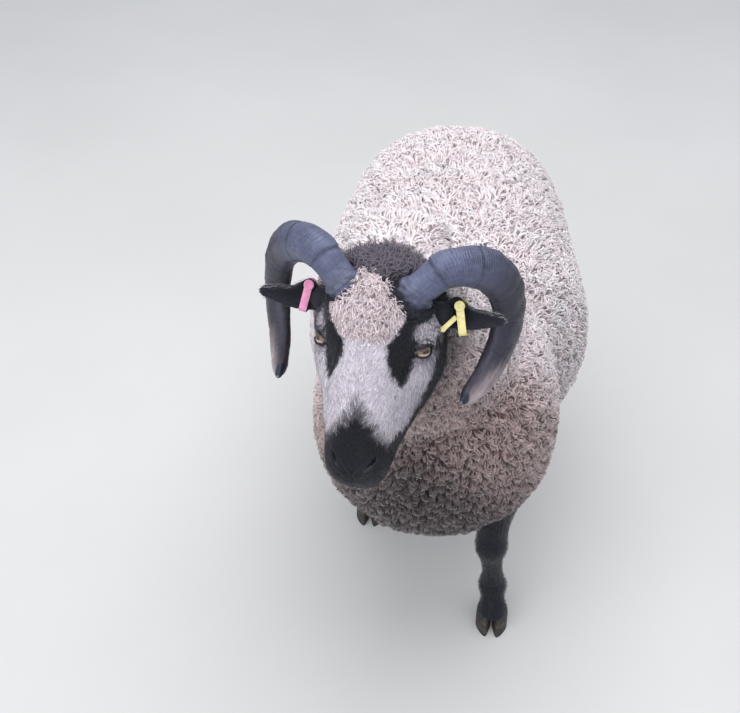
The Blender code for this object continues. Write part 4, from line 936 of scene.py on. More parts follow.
def face_colour(points, toss=None):
    """White nose, grey cheeks, a black drop before each eye, black muzzle and jaw, pale forehead, and
    painted shade in the crease over each eye.
    """
    ram = settings()
    local = to_head(points)
    across, f, u = local.T
    x = np.abs(across)
    uneven = wander(points, 0.012, 9) * 0.0018 + wander(points, 0.004, 10) * 0.0010
    layers = []
    bridge = smooth_step(0.009, -0.009, x + uneven - 0.043 - 0.10 * (u - 0.02))
    bridge = bridge * smooth_step(-0.045, -0.010, u)
    cheek = (0.25 + 0.55 * smooth_step(0.004, 0.030, f)) * smooth_step(-0.060, -0.030, u)
    pale = np.maximum(bridge, cheek * smooth_step(-0.010, 0.004, f))
    layers.append((ram.white_hair, tossed(pale, toss)))
    socket = smooth_step(0.002, -0.010, f) * smooth_step(0.044, 0.052, x)
    layers.append((ram.black_hair, tossed(socket * 0.75, toss)))
    middle, half = keyed(BROW, f).T
    middle, half = middle + 0.003 * (across < 0), half - 0.0025 * np.sign(-across)
    brow = smooth_step(0.0026, -0.0022, np.abs(x - middle) - half + uneven)
    layers.append((ram.white_hair, tossed(brow * 0.62, toss)))
    low, high = keyed(FOREHEAD, f).T
    inside = np.minimum(across - low, high - across) + uneven * 1.5
    curls = smooth_step(-0.003, 0.003, inside) * smooth_step(-0.080, -0.072, f)
    curls = curls * smooth_step(0.014, -0.004, f) * (u > -0.02)
    layers.append((ram.forehead_wool, curls))
    middle, half = keyed(EYE_DROP, f).T
    drop = smooth_step(0.0026, -0.0026, np.abs(x - middle) - half + uneven * 1.3)
    drop = drop * smooth_step(-0.050, -0.035, u) * (1 - curls)
    layers.append((ram.black_hair, tossed(drop, toss)))
    eye, _ = eye_local(local)
    rim = np.where((eye[:, 0] > 0) & (far(eye) < EYE_REACH), lid_distance(eye), 1.0)
    layers.append((ram.black_hair, smooth_step(0.0044, 0.0022, rim + uneven * 0.4)))
    # painted shade: a dark line in the crease over each eye, where the upper lid casts its shadow
    crease = bell(rim, 0.0066, 0.0009) * (eye[:, 2] > 0) * (np.abs(eye[:, 1]) < 0.017)
    layers.append((ram.black_hair, crease * 0.6))
    begins, full = keyed(MUZZLE, x).T
    muzzle = np.clip((f + uneven * 2 - MUZZLE_SKEW * across - begins) / (full - begins), 0, 1) ** 0.75
    layers.append((ram.black_hair, (0.5 * muzzle + 0.5 * tossed(muzzle, toss)) * (u > -0.055)))
    jaw_line = keyed(JAW, f)[:, 0]
    jaw = smooth_step(0.005, -0.005, u - jaw_line + uneven * 2)
    layers.append((ram.black_hair, tossed(jaw, toss) * 0.95))
    behind = smooth_step(-0.046, -0.054, f) * (1 - curls)
    layers.append((ram.black_hair, tossed(behind, toss) * 0.95))
    crown = smooth_step(-0.071, -0.081, f + uneven * 2) * (u > -0.06) * (1 - curls)
    layers.append((ram.crown_wool, tossed(crown, toss)))
    colours = plain(ram.grey_hair, points)
    for colour, share in layers:
        colours = blend(colours, colour, share)
    return np.clip(colours, 0.003, 1)


def wool_line(points):
    """Height at which the fleece ends and the hair of the legs begins."""
    return np.where(points[:, 1] < LEGS_PART, WOOL_LINE["fore"], WOOL_LINE["hind"])


def is_leg(points):
    return points[:, 2] < wool_line(points)


def on_nape(points):
    """Where the back of the head carries the neck's fleece."""
    x, f, u = to_head(points).T
    return (f < NAPE_AT + NAPE_BOW * (x - NAPE_MIDDLE) ** 2) & (u > -0.080)


def coat_colour(points, toss=None):
    """The markings, with their painted shade, the same for skin and coat."""
    colours = wool_colour(points)
    legs = smooth_step(0.010, -0.014, points[:, 2] - wool_line(points))
    colours = colours + (leg_colour(points) - colours) * legs[:, None]
    head = smooth_step(-0.012, 0.006, head_height(points)) * ~on_nape(points)
    return colours + (face_colour(points, toss) - colours) * head[:, None]


def paint(obj, colours):
    rgba = np.concatenate([colours, np.ones((len(colours), 1))], 1).astype(np.float32)
    layer = obj.data.color_attributes.new(name=COAT_NAME, type="FLOAT_COLOR", domain="POINT")
    layer.data.foreach_set("color", rgba.ravel())


# Materials

class Nodes:
    """A small helper that adds and links shader nodes."""

    def __init__(self, name):
        self.material = bpy.data.materials.new(name)
        self.material.use_nodes = True
        self.tree = self.material.node_tree
        self.shader = self.tree.nodes["Principled BSDF"]

    def add(self, kind, **values):
        node = self.tree.nodes.new(kind)
        for key, value in values.items():
            if hasattr(node, key):
                setattr(node, key, value)
            else:
                node.inputs[key.replace("_", " ")].default_value = value
        return node

    def link(self, source, target):
        self.tree.links.new(source, target)

    def feed(self, source, name):
        self.link(source, self.shader.inputs[name])

    def surface(self, **values):
        for key, value in values.items():
            self.shader.inputs[key.replace("_", " ")].default_value = value

    def markings(self):
        return self.add("ShaderNodeVertexColor", layer_name=COAT_NAME).outputs["Color"]

    def noise(self, scale, detail, stretch=(1, 1, 1), turn=0.0, place=None):
        """Noise on the object's own places, or on others, stretched and then turned about z."""
        place = place or self.add("ShaderNodeTexCoord").outputs["Object"]
        spread = self.add("ShaderNodeMapping", Scale=stretch, Rotation=(0, 0, turn))
        made = self.add("ShaderNodeTexNoise", Scale=scale, Detail=detail)
        self.link(place, spread.inputs["Vector"])
        self.link(spread.outputs["Vector"], made.inputs["Vector"])
        return made.outputs["Fac"]

    def ramp(self, source, *stops):
        made = self.add("ShaderNodeValToRGB")
        made.color_ramp.elements[0].position, made.color_ramp.elements[0].color = stops[0]
        made.color_ramp.elements[1].position, made.color_ramp.elements[1].color = stops[-1]
        for position, colour in stops[1:-1]:
            made.color_ramp.elements.new(position).color = colour
        self.link(source, made.inputs["Fac"])
        return made.outputs["Color"]

    def mixed(self, kind, first, second, share=1.0):
        made = self.add("ShaderNodeMix", data_type="RGBA", blend_type=kind)
        for socket, value in ((made.inputs[0], share), (made.inputs[6], first), (made.inputs[7], second)):
            if isinstance(value, bpy.types.NodeSocket):
                self.link(value, socket)
            else:
                socket.default_value = value
        return made.outputs[2]

    def bump(self, height, strength, distance):
        made = self.add("ShaderNodeBump", Strength=strength, Distance=distance)
        self.link(height, made.inputs["Height"])
        self.feed(made.outputs["Normal"], "Normal")


def grey(value):
    return (value, value, value, 1)


def coat_material(name):
    """Hair, wool or skin in the coat's own markings, with a fine grain."""
    grain, spread, roughness, sheen, bump_distance, glow = COATS[name]
    made = Nodes(name)
    grain_noise = made.noise(grain, 3.0)
    shade = made.ramp(grain_noise, (0.30, grey(1 - spread)), (0.72, grey(1 + spread)))
    made.feed(made.mixed("MULTIPLY", made.markings(), shade), "Base Color")
    made.surface(Roughness=roughness, Sheen_Weight=sheen, Sheen_Roughness=0.5, Specular_IOR_Level=0.25)
    if glow:
        made.surface(Subsurface_Weight=glow, Subsurface_Scale=0.007, Subsurface_Radius=(1.0, 0.93, 0.94))
    made.bump(grain_noise, 0.5, bump_distance)
    return made.material


def horn_material():
    """Dark slate horn: fine streaks both ways, a few pale scratches and a sheen tinted blue as a painted
    reflection of the sky.
    """
    made = Nodes("horn")
    place = made.add("ShaderNodeUVMap", uv_map=GRAIN_NAME).outputs["UV"]
    lengthwise, across, scratches = (
        made.noise(1.5, 5.0, stretch, turn, place)
        for stretch, turn in (((46, 5, 1), 0), ((7, 70, 1), 0), ((30, 4, 1), 0.5))
    )
    base = made.markings()
    for streaks, dark, bright in ((lengthwise, 0.82, 1.22), (across, 0.78, 1.25)):
        shade = made.ramp(streaks, (0.32, grey(dark)), (0.68, grey(bright)))
        base = made.mixed("MULTIPLY", base, shade)
    mask = made.ramp(scratches, (0.70, grey(0)), (0.76, grey(0.50)))
    made.feed(made.mixed("MIX", base, SCRATCH_COLOUR, mask), "Base Color")
    made.feed(made.ramp(lengthwise, (0.3, grey(0.34)), (0.7, grey(0.52))), "Roughness")
    # the bluish specular tint stands in for the blue of the sky in the horns' sheen
    made.surface(Specular_IOR_Level=0.60, Specular_Tint=(0.62, 0.75, 1.0, 1))
    made.bump(made.mixed("MIX", lengthwise, across, 0.6), 0.45, 0.0006)
    return made.material


def eye_material():
    """A wet eye with flecks."""
    made = Nodes("eye")
    fleck = made.ramp(made.noise(900, 3.0), (0.35, grey(0.75)), (0.70, grey(1.25)))
    made.feed(made.mixed("MULTIPLY", made.markings(), fleck), "Base Color")
    made.surface(Roughness=0.35, Coat_Weight=0.45, Coat_Roughness=0.03)
    return made.material


def tag_material(name, colour):
    """Moulded plastic, slightly dirty."""
    made = Nodes(name)
    dirt = made.ramp(made.noise(180, 5.0), (0.35, grey(0.80)), (0.62, grey(1.0)))
    made.feed(made.mixed("MULTIPLY", (*colour, 1), dirt), "Base Color")
    made.feed(made.ramp(made.noise(420, 3.0), (0.3, grey(0.32)), (0.7, grey(0.50))), "Roughness")
    made.surface(Subsurface_Weight=0.15, Subsurface_Scale=0.004)
    made.bump(made.noise(700, 2.0), 0.25, 0.0003)
    return made.material


def hoof_material():
    """Dull dark horn with upright streaks."""
    made = Nodes("hoof")
    colour = made.ramp(
        made.noise(36, 5.0, stretch=(1, 1, 7)), (0.30, (0.016, 0.014, 0.014, 1)),
        (0.55, (0.040, 0.034, 0.030, 1)), (0.78, (0.110, 0.092, 0.075, 1)),
    )
    made.feed(colour, "Base Color")
    made.feed(made.ramp(made.noise(120, 4.0), (0.3, grey(0.45)), (0.7, grey(0.75))), "Roughness")
    made.bump(made.noise(60, 4.0, stretch=(1, 1, 9)), 0.6, 0.0010)
    return made.material


def floor_material():
    made = Nodes("floor")
    tone = made.ramp(made.noise(1.4, 4.0), (0.3, (0.58, 0.58, 0.57, 1)), (0.7, (0.62, 0.62, 0.61, 1)))
    made.feed(tone, "Base Color")
    made.surface(Roughness=0.85)
    made.bump(made.noise(90, 3.0), 0.08, 0.001)
    return made.material


# Scattering and tufts

def surface_of(obj):
    """Triangles and smooth normals of a mesh, in the ram's frame."""
    obj.data.calc_loop_triangles()
    triangles = values_of(obj.data.loop_triangles, "vertices", 3, np.int32)
    return vertex_points(obj), triangles, vertex_normals(obj)


def scatter(surface, keep, spacing, draw):
    """Places and normals spread evenly over what is kept, with one place in each small cell."""
    points, triangles, normals = surface
    corners = points[triangles]
    chosen = keep(corners.mean(1))
    corners, marks = corners[chosen], triangles[chosen]
    edges = corners[:, 1:] - corners[:, :1]
    area = far(np.cross(edges[:, 0], edges[:, 1])) / 2
    count = int(area.sum() / spacing**2 * 3)
    if count < 1:
        return np.zeros((0, 3)), np.zeros((0, 3))
    pick = draw.choice(len(area), count, p=area / area.sum())
    a, b = draw.random((2, count))
    flip = a + b > 1
    a[flip], b[flip] = 1 - a[flip], 1 - b[flip]
    shares = np.stack([1 - a - b, a, b], -1)
    places = (corners[pick] * shares[..., None]).sum(1)
    ways = unit((normals[marks[pick]] * shares[..., None]).sum(1))
    cell = np.floor(places / (spacing * 0.98)).astype(np.int64)
    _, first = np.unique(np.bitwise_xor.reduce(cell * CELL_PRIMES, axis=1), return_index=True)
    first.sort()
    inside = keep(places[first])
    return places[first][inside], ways[first][inside]


class Tufts:
    """Many tapered curls or hairs with three sides, gathered as arrays."""

    def __init__(self, levels, softness=0.5):
        self.levels, self.softness = levels, softness
        self.points, self.colours, self.ways, self.roots, self.groups = [], [], [], [], []

    def grow(self, roots, normals, lie, length, width, draw, colours, *, curl=0.0, turns=1.0,
             lean=0.25, flat=0.75, sink=0.0015, root_shade_and_tone=0.45, tip_width=0.45, group=0, rise=None,
             gather=None, tints=(0.84, 1.14), hook=None, hook_turn=3.3, facing=None):
        """Adds a tuft on each root. All sizes may be one number or one for each root.

        A tuft winds about its own line, or with a hook stands up and bends over in an arc.
        """
        n = len(roots)
        if n == 0:
            return
        length, width, curl, lean, dark = (
            np.broadcast_to(np.asarray(v, float), n) for v in (length, width, curl, lean, root_shade_and_tone)
        )
        b = unit(flattened(lie + draw.normal(0, 1e-4, (n, 3)), normals))
        a = np.cross(normals, b)
        phase, hand = draw.uniform(0, 2 * math.pi, n), draw.choice((-1.0, 1.0), n)
        spin = turns * draw.uniform(0.75, 1.25, n) * hand
        share = np.linspace(0, 1, self.levels + 1) if rise is None else np.asarray(rise, float)
        centres = []
        for s in share:
            angle = phase + 2 * math.pi * spin * s
            reach = curl * smooth_step(0.0, 0.45, s)
            bent = lean * length * s**1.6
            up = length * s * (1 - 0.35 * np.minimum(lean, 1.2) * s) - sink * (s == 0)
            forth, aside = bent + reach * np.sin(angle), reach * np.cos(angle)
            if hook is not None:
                turn = hook_turn * max(0.0, 2 * s - 1)
                up = (length - hook) * min(2 * s, 1.0) + hook * np.sin(turn) - sink * (s == 0)
                forth = lean * length * s + hook * (1 - np.cos(turn))
                aside = curl * hand * np.sin(turn * 0.7)
            centre = roots + normals * up[:, None] + b * forth[:, None] + a * aside[:, None]
            if gather is not None:
                centre = centre + gather * smooth_step(0.25, 1.0, s)
            centres.append(centre)
        centres = np.stack(centres, 1)
        tangents = unit(np.gradient(centres, axis=1))
        side = a.copy()
        rings, ways = [], []
        for k in range(self.levels):
            t = tangents[:, k]
            side = unit(flattened(side, t))
            other = np.cross(t, side)
            wide = (width * (1 - (1 - tip_width) * share[k] ** 1.5))[:, None]
            for j in range(TUFT_SIDES):
                turn = 2 * math.pi * j / TUFT_SIDES
                cos, sin = math.cos(turn), math.sin(turn)
                rings.append(centres[:, k] + side * wide * cos + other * wide * flat * sin)
                ways.append(side * cos + other * sin)
        points = np.stack([*rings, centres[:, -1]], 1)
        ways = np.stack([*ways, tangents[:, -1]], 1)
        facing = normals if facing is None else facing
        ways = unit(ways * (1 - self.softness) + facing[:, None] * self.softness)
        levels = np.concatenate([np.repeat(share[:-1], TUFT_SIDES), [1.0]])
        # painted shade: each tuft darkens towards its root, partly the hair's own darker root and partly
        # shade deep in the coat
        shade = dark[:, None] + (1 - dark[:, None]) * smooth_step(0.25, 0.95, levels)[None]
        tint = colours * draw.uniform(*tints, (n, 1)) * draw.uniform(0.97, 1.03, (n, 3))
        self.points.append(points)
        self.ways.append(ways)
        self.colours.append(np.clip(tint[:, None] * shade[..., None], 0.002, 1))
        self.roots.append(roots)
        self.groups.append(np.full(n, group))

    def finish(self, name, unwrap, slot, made):
        """Makes and finishes pieces of at most so many triangles, each with its own unwrap."""
        if not self.points:
            return
        points, colours, ways, roots, groups = (
            np.concatenate(kept) for kept in (self.points, self.colours, self.ways, self.roots, self.groups)
        )
        order = np.lexsort((roots[:, 1], groups))
        most = MOST_TRIANGLES // ((2 * self.levels - 1) * TUFT_SIDES)
        for group in np.unique(groups):
            members = order[groups[order] == group]
            parts = max(1, math.ceil(len(members) / most))
            for i, part in enumerate(np.array_split(members, parts)):
                tag = f"{name}_{group}_{i}" if parts > 1 else f"{name}_{group}"
                places = unwrap(roots[part])
                piece = self.piece(tag, points[part], colours[part], ways[part], places)
                finish_piece(piece, (), slot, made)

    def piece(self, name, points, colours, ways, places):
        n, each = points.shape[:2]
        quads = grid_faces(self.levels, TUFT_SIDES)
        j = np.arange(TUFT_SIDES)
        last = (self.levels - 1) * TUFT_SIDES
        ends = np.stack([last + j, last + (j + 1) % TUFT_SIDES, np.full(TUFT_SIDES, each - 1)], -1)
        start = (np.arange(n) * each)[:, None, None]
        groups = [(quads[None] + start).reshape(-1, 4), (ends[None] + start).reshape(-1, 3)]
        obj = mesh_object(name, points.reshape(-1, 3), groups)
        obj.data.normals_split_custom_set_from_vertices(ways.reshape(-1, 3))
        paint(obj, colours.reshape(-1, 3))
        turn = np.concatenate([2 * math.pi * (np.tile(j, self.levels) / TUFT_SIDES), [0]])
        level = np.concatenate([np.repeat(np.linspace(0.2, 1, self.levels), TUFT_SIDES), [0.1]])
        offset = np.stack([np.cos(turn) * level, np.sin(turn) * level], -1) * PATCH / 2
        lay_uv(obj, UV_NAME, (places[:, None] + offset[None]).reshape(-1, 2))
        return obj


def crossways(way, near):
    """Two directions square to a third and to each other."""
    side = unit(np.cross(way, near))
    return side, np.cross(way, side)


def unwrap_round(points, axis_at, axis_way, low, high):
    """Places on an unwrap round an axis: how far round, and how far along."""
    way = unit(np.array(axis_way, float))
    side, up = crossways(way, (0.3, 0.2, 1.0))
    away = points - np.array(axis_at)
    round_share = np.arctan2(away @ side, away @ up) / (2 * math.pi) + 0.5
    along = np.clip((away @ way - low) / (high - low), 0, 1)
    return UV_MARGIN + (1 - 2 * UV_MARGIN) * np.stack([round_share, along], -1)


def long_unwrap(roots, axis, way):
    """An unwrap round the middle of the roots, from end to end along one axis."""
    centre = roots.mean(0)
    along = roots[:, axis] - centre[axis]
    return unwrap_round(roots, centre, way, along.min() - UV_SLACK, along.max() + UV_SLACK)


def fleece_unwrap(roots):
    return long_unwrap(roots, 1, (0, 1, 0))


def leg_unwrap(roots):
    return long_unwrap(roots, 2, (0, 0.05, 1))


def head_unwrap(roots):
    return unwrap_round(to_head(roots), (0, 0, -0.03), (0, 1, 0), -0.17, 0.17)


def on_head(points):
    return (head_height(points) > HEAD_HAIR_FROM) & ~on_nape(points)


def in_fleece(points):
    return ~is_leg(points) & ~on_head(points)


def horn_rows(side, mirror):
    """The rows of one horn, whose arch lies a little further up or down the face than its twin's."""
    last = len(HORN) - 1
    return [
        (*from_head((x, f + HORN_RISE[side] * math.sin(math.pi * i / last), u), mirror), across, along)
        for i, (x, f, u, across, along) in enumerate(HORN)
    ]


def horn_path(side, mirror):
    """The centreline of a horn's first stretch, round which no hair grows."""
    return stations([row[:3] for row in horn_rows(side, mirror)[:6]], 3)


def clear_of_horns(points, reach):
    """True where a place on the head is neither under a horn's base nor under an ear's root."""
    clear = np.ones(len(points), bool)
    for side, mirror in SIDES:
        gap, _ = distance_to_path(points, horn_path(side, mirror))
        clear &= gap > reach
        root = from_head(EAR_ROOT, mirror)
        clear &= far(points - root) > EAR_CLEAR
    return clear


def bare_skin(points):
    """Where lids, nostrils and lips carry no hair."""
    local = to_head(points)
    eye, folded = eye_local(local)
    lids = (lid_distance(eye) < 0.0022) & (eye[:, 0] > 0) & (far(eye) < EYE_REACH)
    slit, _ = distance_to_path(folded, NOSTRIL)
    line = np.abs(local[:, 2] - keyed(MOUTH_LINE, local[:, 1])[:, 0])
    lips = (line < 0.0018) & (local[:, 1] > MOUTH_FROM)
    return (head_height(points) > 0) & (lids | (slit < 0.0029) | lips)


class RAM_OT_skin(bpy.types.Operator):
    """Makes the one skin of head, body and legs, in the coat's markings, with painted shade under the head's
    hair
    """

    bl_idname = "ram.skin"
    bl_label = "Skin"

    def execute(self, context):
        skin = body_skin()
        joined(skin, [lower_leg(leg) for leg in STRIDES] + [head_skin()])
        skin.name = "skin"
        skin.data.shade_smooth()
        places = vertex_points(skin)
        # painted shade: the head's skin is painted darker, as the shade under its short hair
        shaded = np.where(head_height(places) > 0, 0.68, 1.0)[:, None]
        paint(skin, coat_colour(places) * shaded)
        nodes = ["torso", "neck", "tail", "head"] + [f"leg_{leg}" for leg in STRIDES]
        finish_piece(skin, nodes, "face_hair", coat_material("short_hair"), coat_material("moist_skin"))
        middles = values_of(skin.data.polygons, "center", 3).astype(float) - ORIGIN_SHIFT
        skin.data.polygons.foreach_set("material_index", bare_skin(middles).astype(np.int32))
        return {"FINISHED"}


def fleece_zone(points):
    """0 on the neck and chest, where the curls are finest, 1 on the back and sides, 2 elsewhere."""
    y, z = points[:, 1], points[:, 2] + 0.012 * wander(points, 0.05, 12)
    behind = (y > 0.36) & (z < 0.58) | (z < 0.34)
    return np.where(y < -0.11, 0, np.where(behind, 2, 1))


def gathered(roots, normals, surface, keep, spacing, draw):
    """The lock that each root belongs to, and the way to that lock's middle along the skin."""
    middles, _ = scatter(surface, keep, spacing, draw)
    tree = KDTree(len(middles))
    for i, place in enumerate(middles):
        tree.insert(place, i)
    tree.balance()
    lock = np.array([tree.find(place)[1] for place in roots])
    return lock, len(middles), flattened(middles[lock] - roots, normals)


def begin(context, turn):
    """The settings, the draws of one operator, and the skin's surface."""
    ram = context.scene.ram
    return ram, np.random.default_rng(ram.seed + turn), surface_of(bpy.data.objects["skin"])


class RAM_OT_fleece(bpy.types.Operator):
    """Grows the curls of the fleece"""

    bl_idname = "ram.fleece"
    bl_label = "Fleece"

    def execute(self, context):
        ram, draw, surface = begin(context, 0)
        wool = coat_material("wool")
        for zone, fine in enumerate((0.70, 0.84, 1.30)):
            tufts = Tufts(3, softness=0.82)

            def keep(points):
                return in_fleece(points) & (fleece_zone(points) == zone)

            def each(low, high):
                return draw.uniform(low, high, len(roots))

            def each_lock(low, high):
                return draw.uniform(low, high, count)[lock]

            spacing = ram.curl_spacing * fine
            roots, normals = scatter(surface, keep, spacing, draw)
            lock, count, way = gathered(roots, normals, surface, keep, ram.lock_spacing, draw)
            lie = np.tile((0.0, 0.30, -0.6), (count, 1)) + draw.normal(0, 0.8, (count, 3))
            y, z = roots[:, 1], roots[:, 2]
            leg_share = smooth_step(0.085, 0.0, z - wool_line(roots))
            leg_share *= smooth_step(0.06, 0.09, np.abs(roots[:, 0]))
            length = ram.curl_length * (1 - 0.55 * leg_share)
            length *= 1 - 0.30 * smooth_step(-0.08, 0.0, head_height(roots))
            tail = (y > 0.484) & (np.abs(roots[:, 0]) < 0.05)
            length = np.where(tail, length * 0.62, length)
            length *= each_lock(0.86, 1.10) * each(0.92, 1.06)
            colours = coat_colour(roots) * each_lock(0.90, 1.06)[:, None]
            bright = smooth_step(0.30, 0.75, colours.mean(1))
            hook = ram.curl_radius * (1 + 0.45 * bright) * each(0.7, 1.3)
            dome = unit(normals - way * (0.9 - 0.5 * bright)[:, None] / (ram.lock_spacing / 2))
            # roots darkened partly as the wool's own darker roots and partly as painted shade deep in the
            # fleece; pale wool gets lighter roots
            tufts.grow(
                roots, normals, lie[lock] + draw.normal(0, 0.35, roots.shape), length,
                spacing * (0.42 + 0.06 * bright) * each(0.7, 1.25), draw, colours,
                curl=0.0016 * each(0.2, 1.0), flat=0.8,
                lean=(each_lock(0.0, 0.25) + each(0, 0.15)) * (1 + 1.2 * bright),
                root_shade_and_tone=0.30 + 0.68 * bright, tip_width=0.4, rise=CURL_RISE,
                gather=way * (0.55 - 0.25 * bright)[:, None],
                hook=np.minimum(hook, length * HOOK_SHARE), hook_turn=each(2.2, 3.8), facing=dome,
                tints=(0.80 + 0.14 * bright[:, None], 1.16 - 0.10 * bright[:, None]),
            )
            tufts.finish(f"fleece_{zone}", fleece_unwrap, "wool", wool)
        return {"FINISHED"}


class RAM_OT_crown(bpy.types.Operator):
    """Grows the dark wool of the poll and the pale curls of the forehead"""

    bl_idname = "ram.crown"
    bl_label = "Crown and forehead"

    def execute(self, context):
        ram, draw, surface = begin(context, 1)

        def crown(points):
            _, f, u = to_head(points).T
            return on_head(points) & (f < -0.060) & (u > -0.075) & clear_of_horns(points, WOOL_CLEAR)

        def forehead(points):
            x, f, u = to_head(points).T
            low, high = keyed(FOREHEAD, f).T
            inside = (f > -0.078) & (f < 0.015) & (x > low) & (x < high) & (u > 0)
            return inside & clear_of_horns(points, WOOL_CLEAR)

        def each(low, high):
            return draw.uniform(low, high, len(roots))

        tufts = Tufts(4, softness=0.6)
        spacing, longest, thick = CROWN_TUFT
        roots, normals = scatter(surface, crown, spacing, draw)
        lie = head_way((0, -1.0, 0.25)) + draw.normal(0, 0.75, roots.shape)
        front = smooth_step(-0.090, -0.065, to_head(roots)[:, 1])
        length = longest * each(0.75, 1.2) * (1 - 0.45 * front)
        tufts.grow(
            roots, normals, lie, length, thick * each(0.8, 1.3), draw,
            coat_colour(roots, draw.random(len(roots))), curl=0.0014 * each(0.5, 1.4),
            lean=each(0.0, 0.5), root_shade_and_tone=0.5, tip_width=0.35, rise=RINGLET_RISE,
            hook=np.minimum(0.0042, length * HOOK_SHARE), hook_turn=each(2.4, 4.2),
        )
        ringlets = Tufts(4, softness=0.75)
        spacing, longest, thick = FOREHEAD_TUFT
        roots, normals = scatter(surface, forehead, spacing, draw)
        local = to_head(roots)
        lie = head_way((0, 1.0, 0.0)) + draw.normal(0, 0.75, roots.shape)
        low, high = keyed(FOREHEAD, local[:, 1]).T
        edge = np.minimum(local[:, 0] - low, high - local[:, 0])
        length = longest * each(0.75, 1.25) * (0.5 + 0.5 * smooth_step(0.0, 0.010, edge))
        length *= 1 - 0.65 * smooth_step(-0.035, 0.012, local[:, 1])
        ringlets.grow(
            roots, normals, lie, length, thick * each(0.7, 1.3), draw,
            coat_colour(roots, draw.random(len(roots))), curl=0.0016 * each(0.5, 1.3),
            lean=each(0.1, 0.7), root_shade_and_tone=0.45, tip_width=0.35, group=1, rise=RINGLET_RISE,
            tints=(0.55, 1.30), hook=np.minimum(0.0031, length * 0.42), hook_turn=each(2.4, 4.2),
        )
        fringe = Tufts(3, softness=0.3)
        spacing, longest, thick = FRINGE_TUFT
        for group, (side, mirror) in enumerate(SIDES):
            path = horn_path(side, mirror)

            def collar(points):
                gap, _ = distance_to_path(points, path)
                near = (gap > FRINGE_FROM) & (gap < FRINGE_TO)
                return on_head(points) & near & (to_head(points)[:, 2] > -0.05)

            roots, normals = scatter(surface, collar, spacing, draw)
            lie = unit(path[5] - path[0]) + draw.normal(0, 0.35, roots.shape)
            fringe.grow(
                roots, normals, lie, longest * each(0.6, 1.2), thick, draw,
                plain(np.array(ram.black_hair) * 1.6, roots), curl=0.0008, turns=0.8,
                lean=each(0.5, 1.3), root_shade_and_tone=0.7, tip_width=0.4, group=2 + group, tints=(0.6, 1.6),
            )
        wool = coat_material("crown_wool")
        for grown in (tufts, ringlets, fringe):
            grown.finish("crown", head_unwrap, "wool", wool)
        return {"FINISHED"}


def hair_lie(points):
    """The way that the short hair of the face lies: down the face, towards its middle."""
    local = to_head(points)
    x, _, u = local.T
    aside = np.abs(x)
    inward = -np.sign(x) * (0.75 * smooth_step(0.0, 0.012, aside) - 0.2 * smooth_step(0.03, 0.05, aside))
    fall = -0.35 * smooth_step(-0.01, -0.05, u)
    ways = np.stack([np.where(u < -0.02, 0.0, inward), np.ones(len(points)), fall], -1)
    eye, _ = eye_local(local)
    near = (smooth_step(EYE_REACH, 0.014, far(eye[:, 1:])) * (eye[:, 0] > 0))[:, None]
    _, along, up = eye_axes()
    away = unit(eye[:, 1:2] * along + eye[:, 2:3] * up) * mirroring(local)
    ways = unit(ways) * (1 - 0.6 * near) + away * 0.6 * near
    return unit(ways) @ HEAD_AXES


class RAM_OT_face_hair(bpy.types.Operator):
    """Lays the short hair of the face, the jaws and the throat"""

    bl_idname = "ram.face_hair"
    bl_label = "Face hair"

    def execute(self, context):
        ram, draw, surface = begin(context, 2)

        def haired(points):
            return on_head(points) & ~bare_skin(points) & clear_of_horns(points, HAIR_CLEAR)

        roots, normals = scatter(surface, haired, ram.hair_spacing, draw)
        local = to_head(roots)
        nose = smooth_step(0.10, 0.145, local[:, 1])
        length = (FACE_LENGTH - NOSE_SHORTER * nose) * draw.uniform(0.7, 1.25, len(roots))
        length *= 1 + 0.7 * smooth_step(-0.05, -0.09, local[:, 2])
        eye, _ = eye_local(local)
        length *= 0.55 + 0.45 * smooth_step(0.002, 0.012, np.where(eye[:, 0] > 0, lid_distance(eye), 1))
        tufts = Tufts(2, softness=0.4)
        _, _, way = gathered(roots, normals, surface, haired, FACE_LOCKS, draw)
        lie = hair_lie(roots) + draw.normal(0, 0.22, roots.shape)
        colours = coat_colour(roots + draw.normal(0, 0.0008, roots.shape), draw.random(len(roots)))
        tufts.grow(
            roots, normals, lie, length, FACE_THICKNESS, draw, colours,
            lean=draw.uniform(1.0, 1.9, len(roots)),
            flat=0.6, sink=0.0006, root_shade_and_tone=0.62, tints=(0.50, 1.42), rise=HAIR_RISE, gather=way * 0.45,
        )
        tufts.finish("face_hair", head_unwrap, "face_hair", coat_material("face_fur"))
        return {"FINISHED"}


class RAM_OT_leg_hair(bpy.types.Operator):
    """Lays the short dark hair of the legs"""

    bl_idname = "ram.leg_hair"
    bl_label = "Leg hair"

    def execute(self, context):
        _, draw, surface = begin(context, 3)
        tufts = Tufts(2)
        spacing, shortest, thick = LEG_TUFT
        for group, leg in enumerate(STRIDES):
            point, normal = coronet_plane(leg)
            table = np.array(leg_table(leg))

            def haired(points):
                path, _ = distance_to_path(points, table[3:, :3])
                over = (points - point) @ normal
                return (path < LEG_REACH) & (points[:, 2] < LEG_HAIR_TOP) & (over > 0.0008)

            roots, normals = scatter(surface, haired, spacing, draw)
            lie = np.tile((0.0, 0.15, -1.0), (len(roots), 1)) + draw.normal(0, 0.12, roots.shape)
            z = roots[:, 2]
            length = shortest + 0.004 * smooth_step(0.22, 0.30, z)
            length = length * draw.uniform(0.7, 1.2, len(roots))
            low = smooth_step(0.055, 0.035, z)
            tufts.grow(
                roots, normals, lie, length * (1 - 0.25 * low), thick, draw, coat_colour(roots),
                lean=draw.uniform(1.2, 2.0, len(roots)), flat=0.6, sink=0.0006, root_shade_and_tone=0.6,
                tip_width=0.5, group=group, rise=HAIR_RISE,
            )
        tufts.finish("leg_hair", leg_unwrap, "leg_hair", coat_material("leg_fur"))
        return {"FINISHED"}


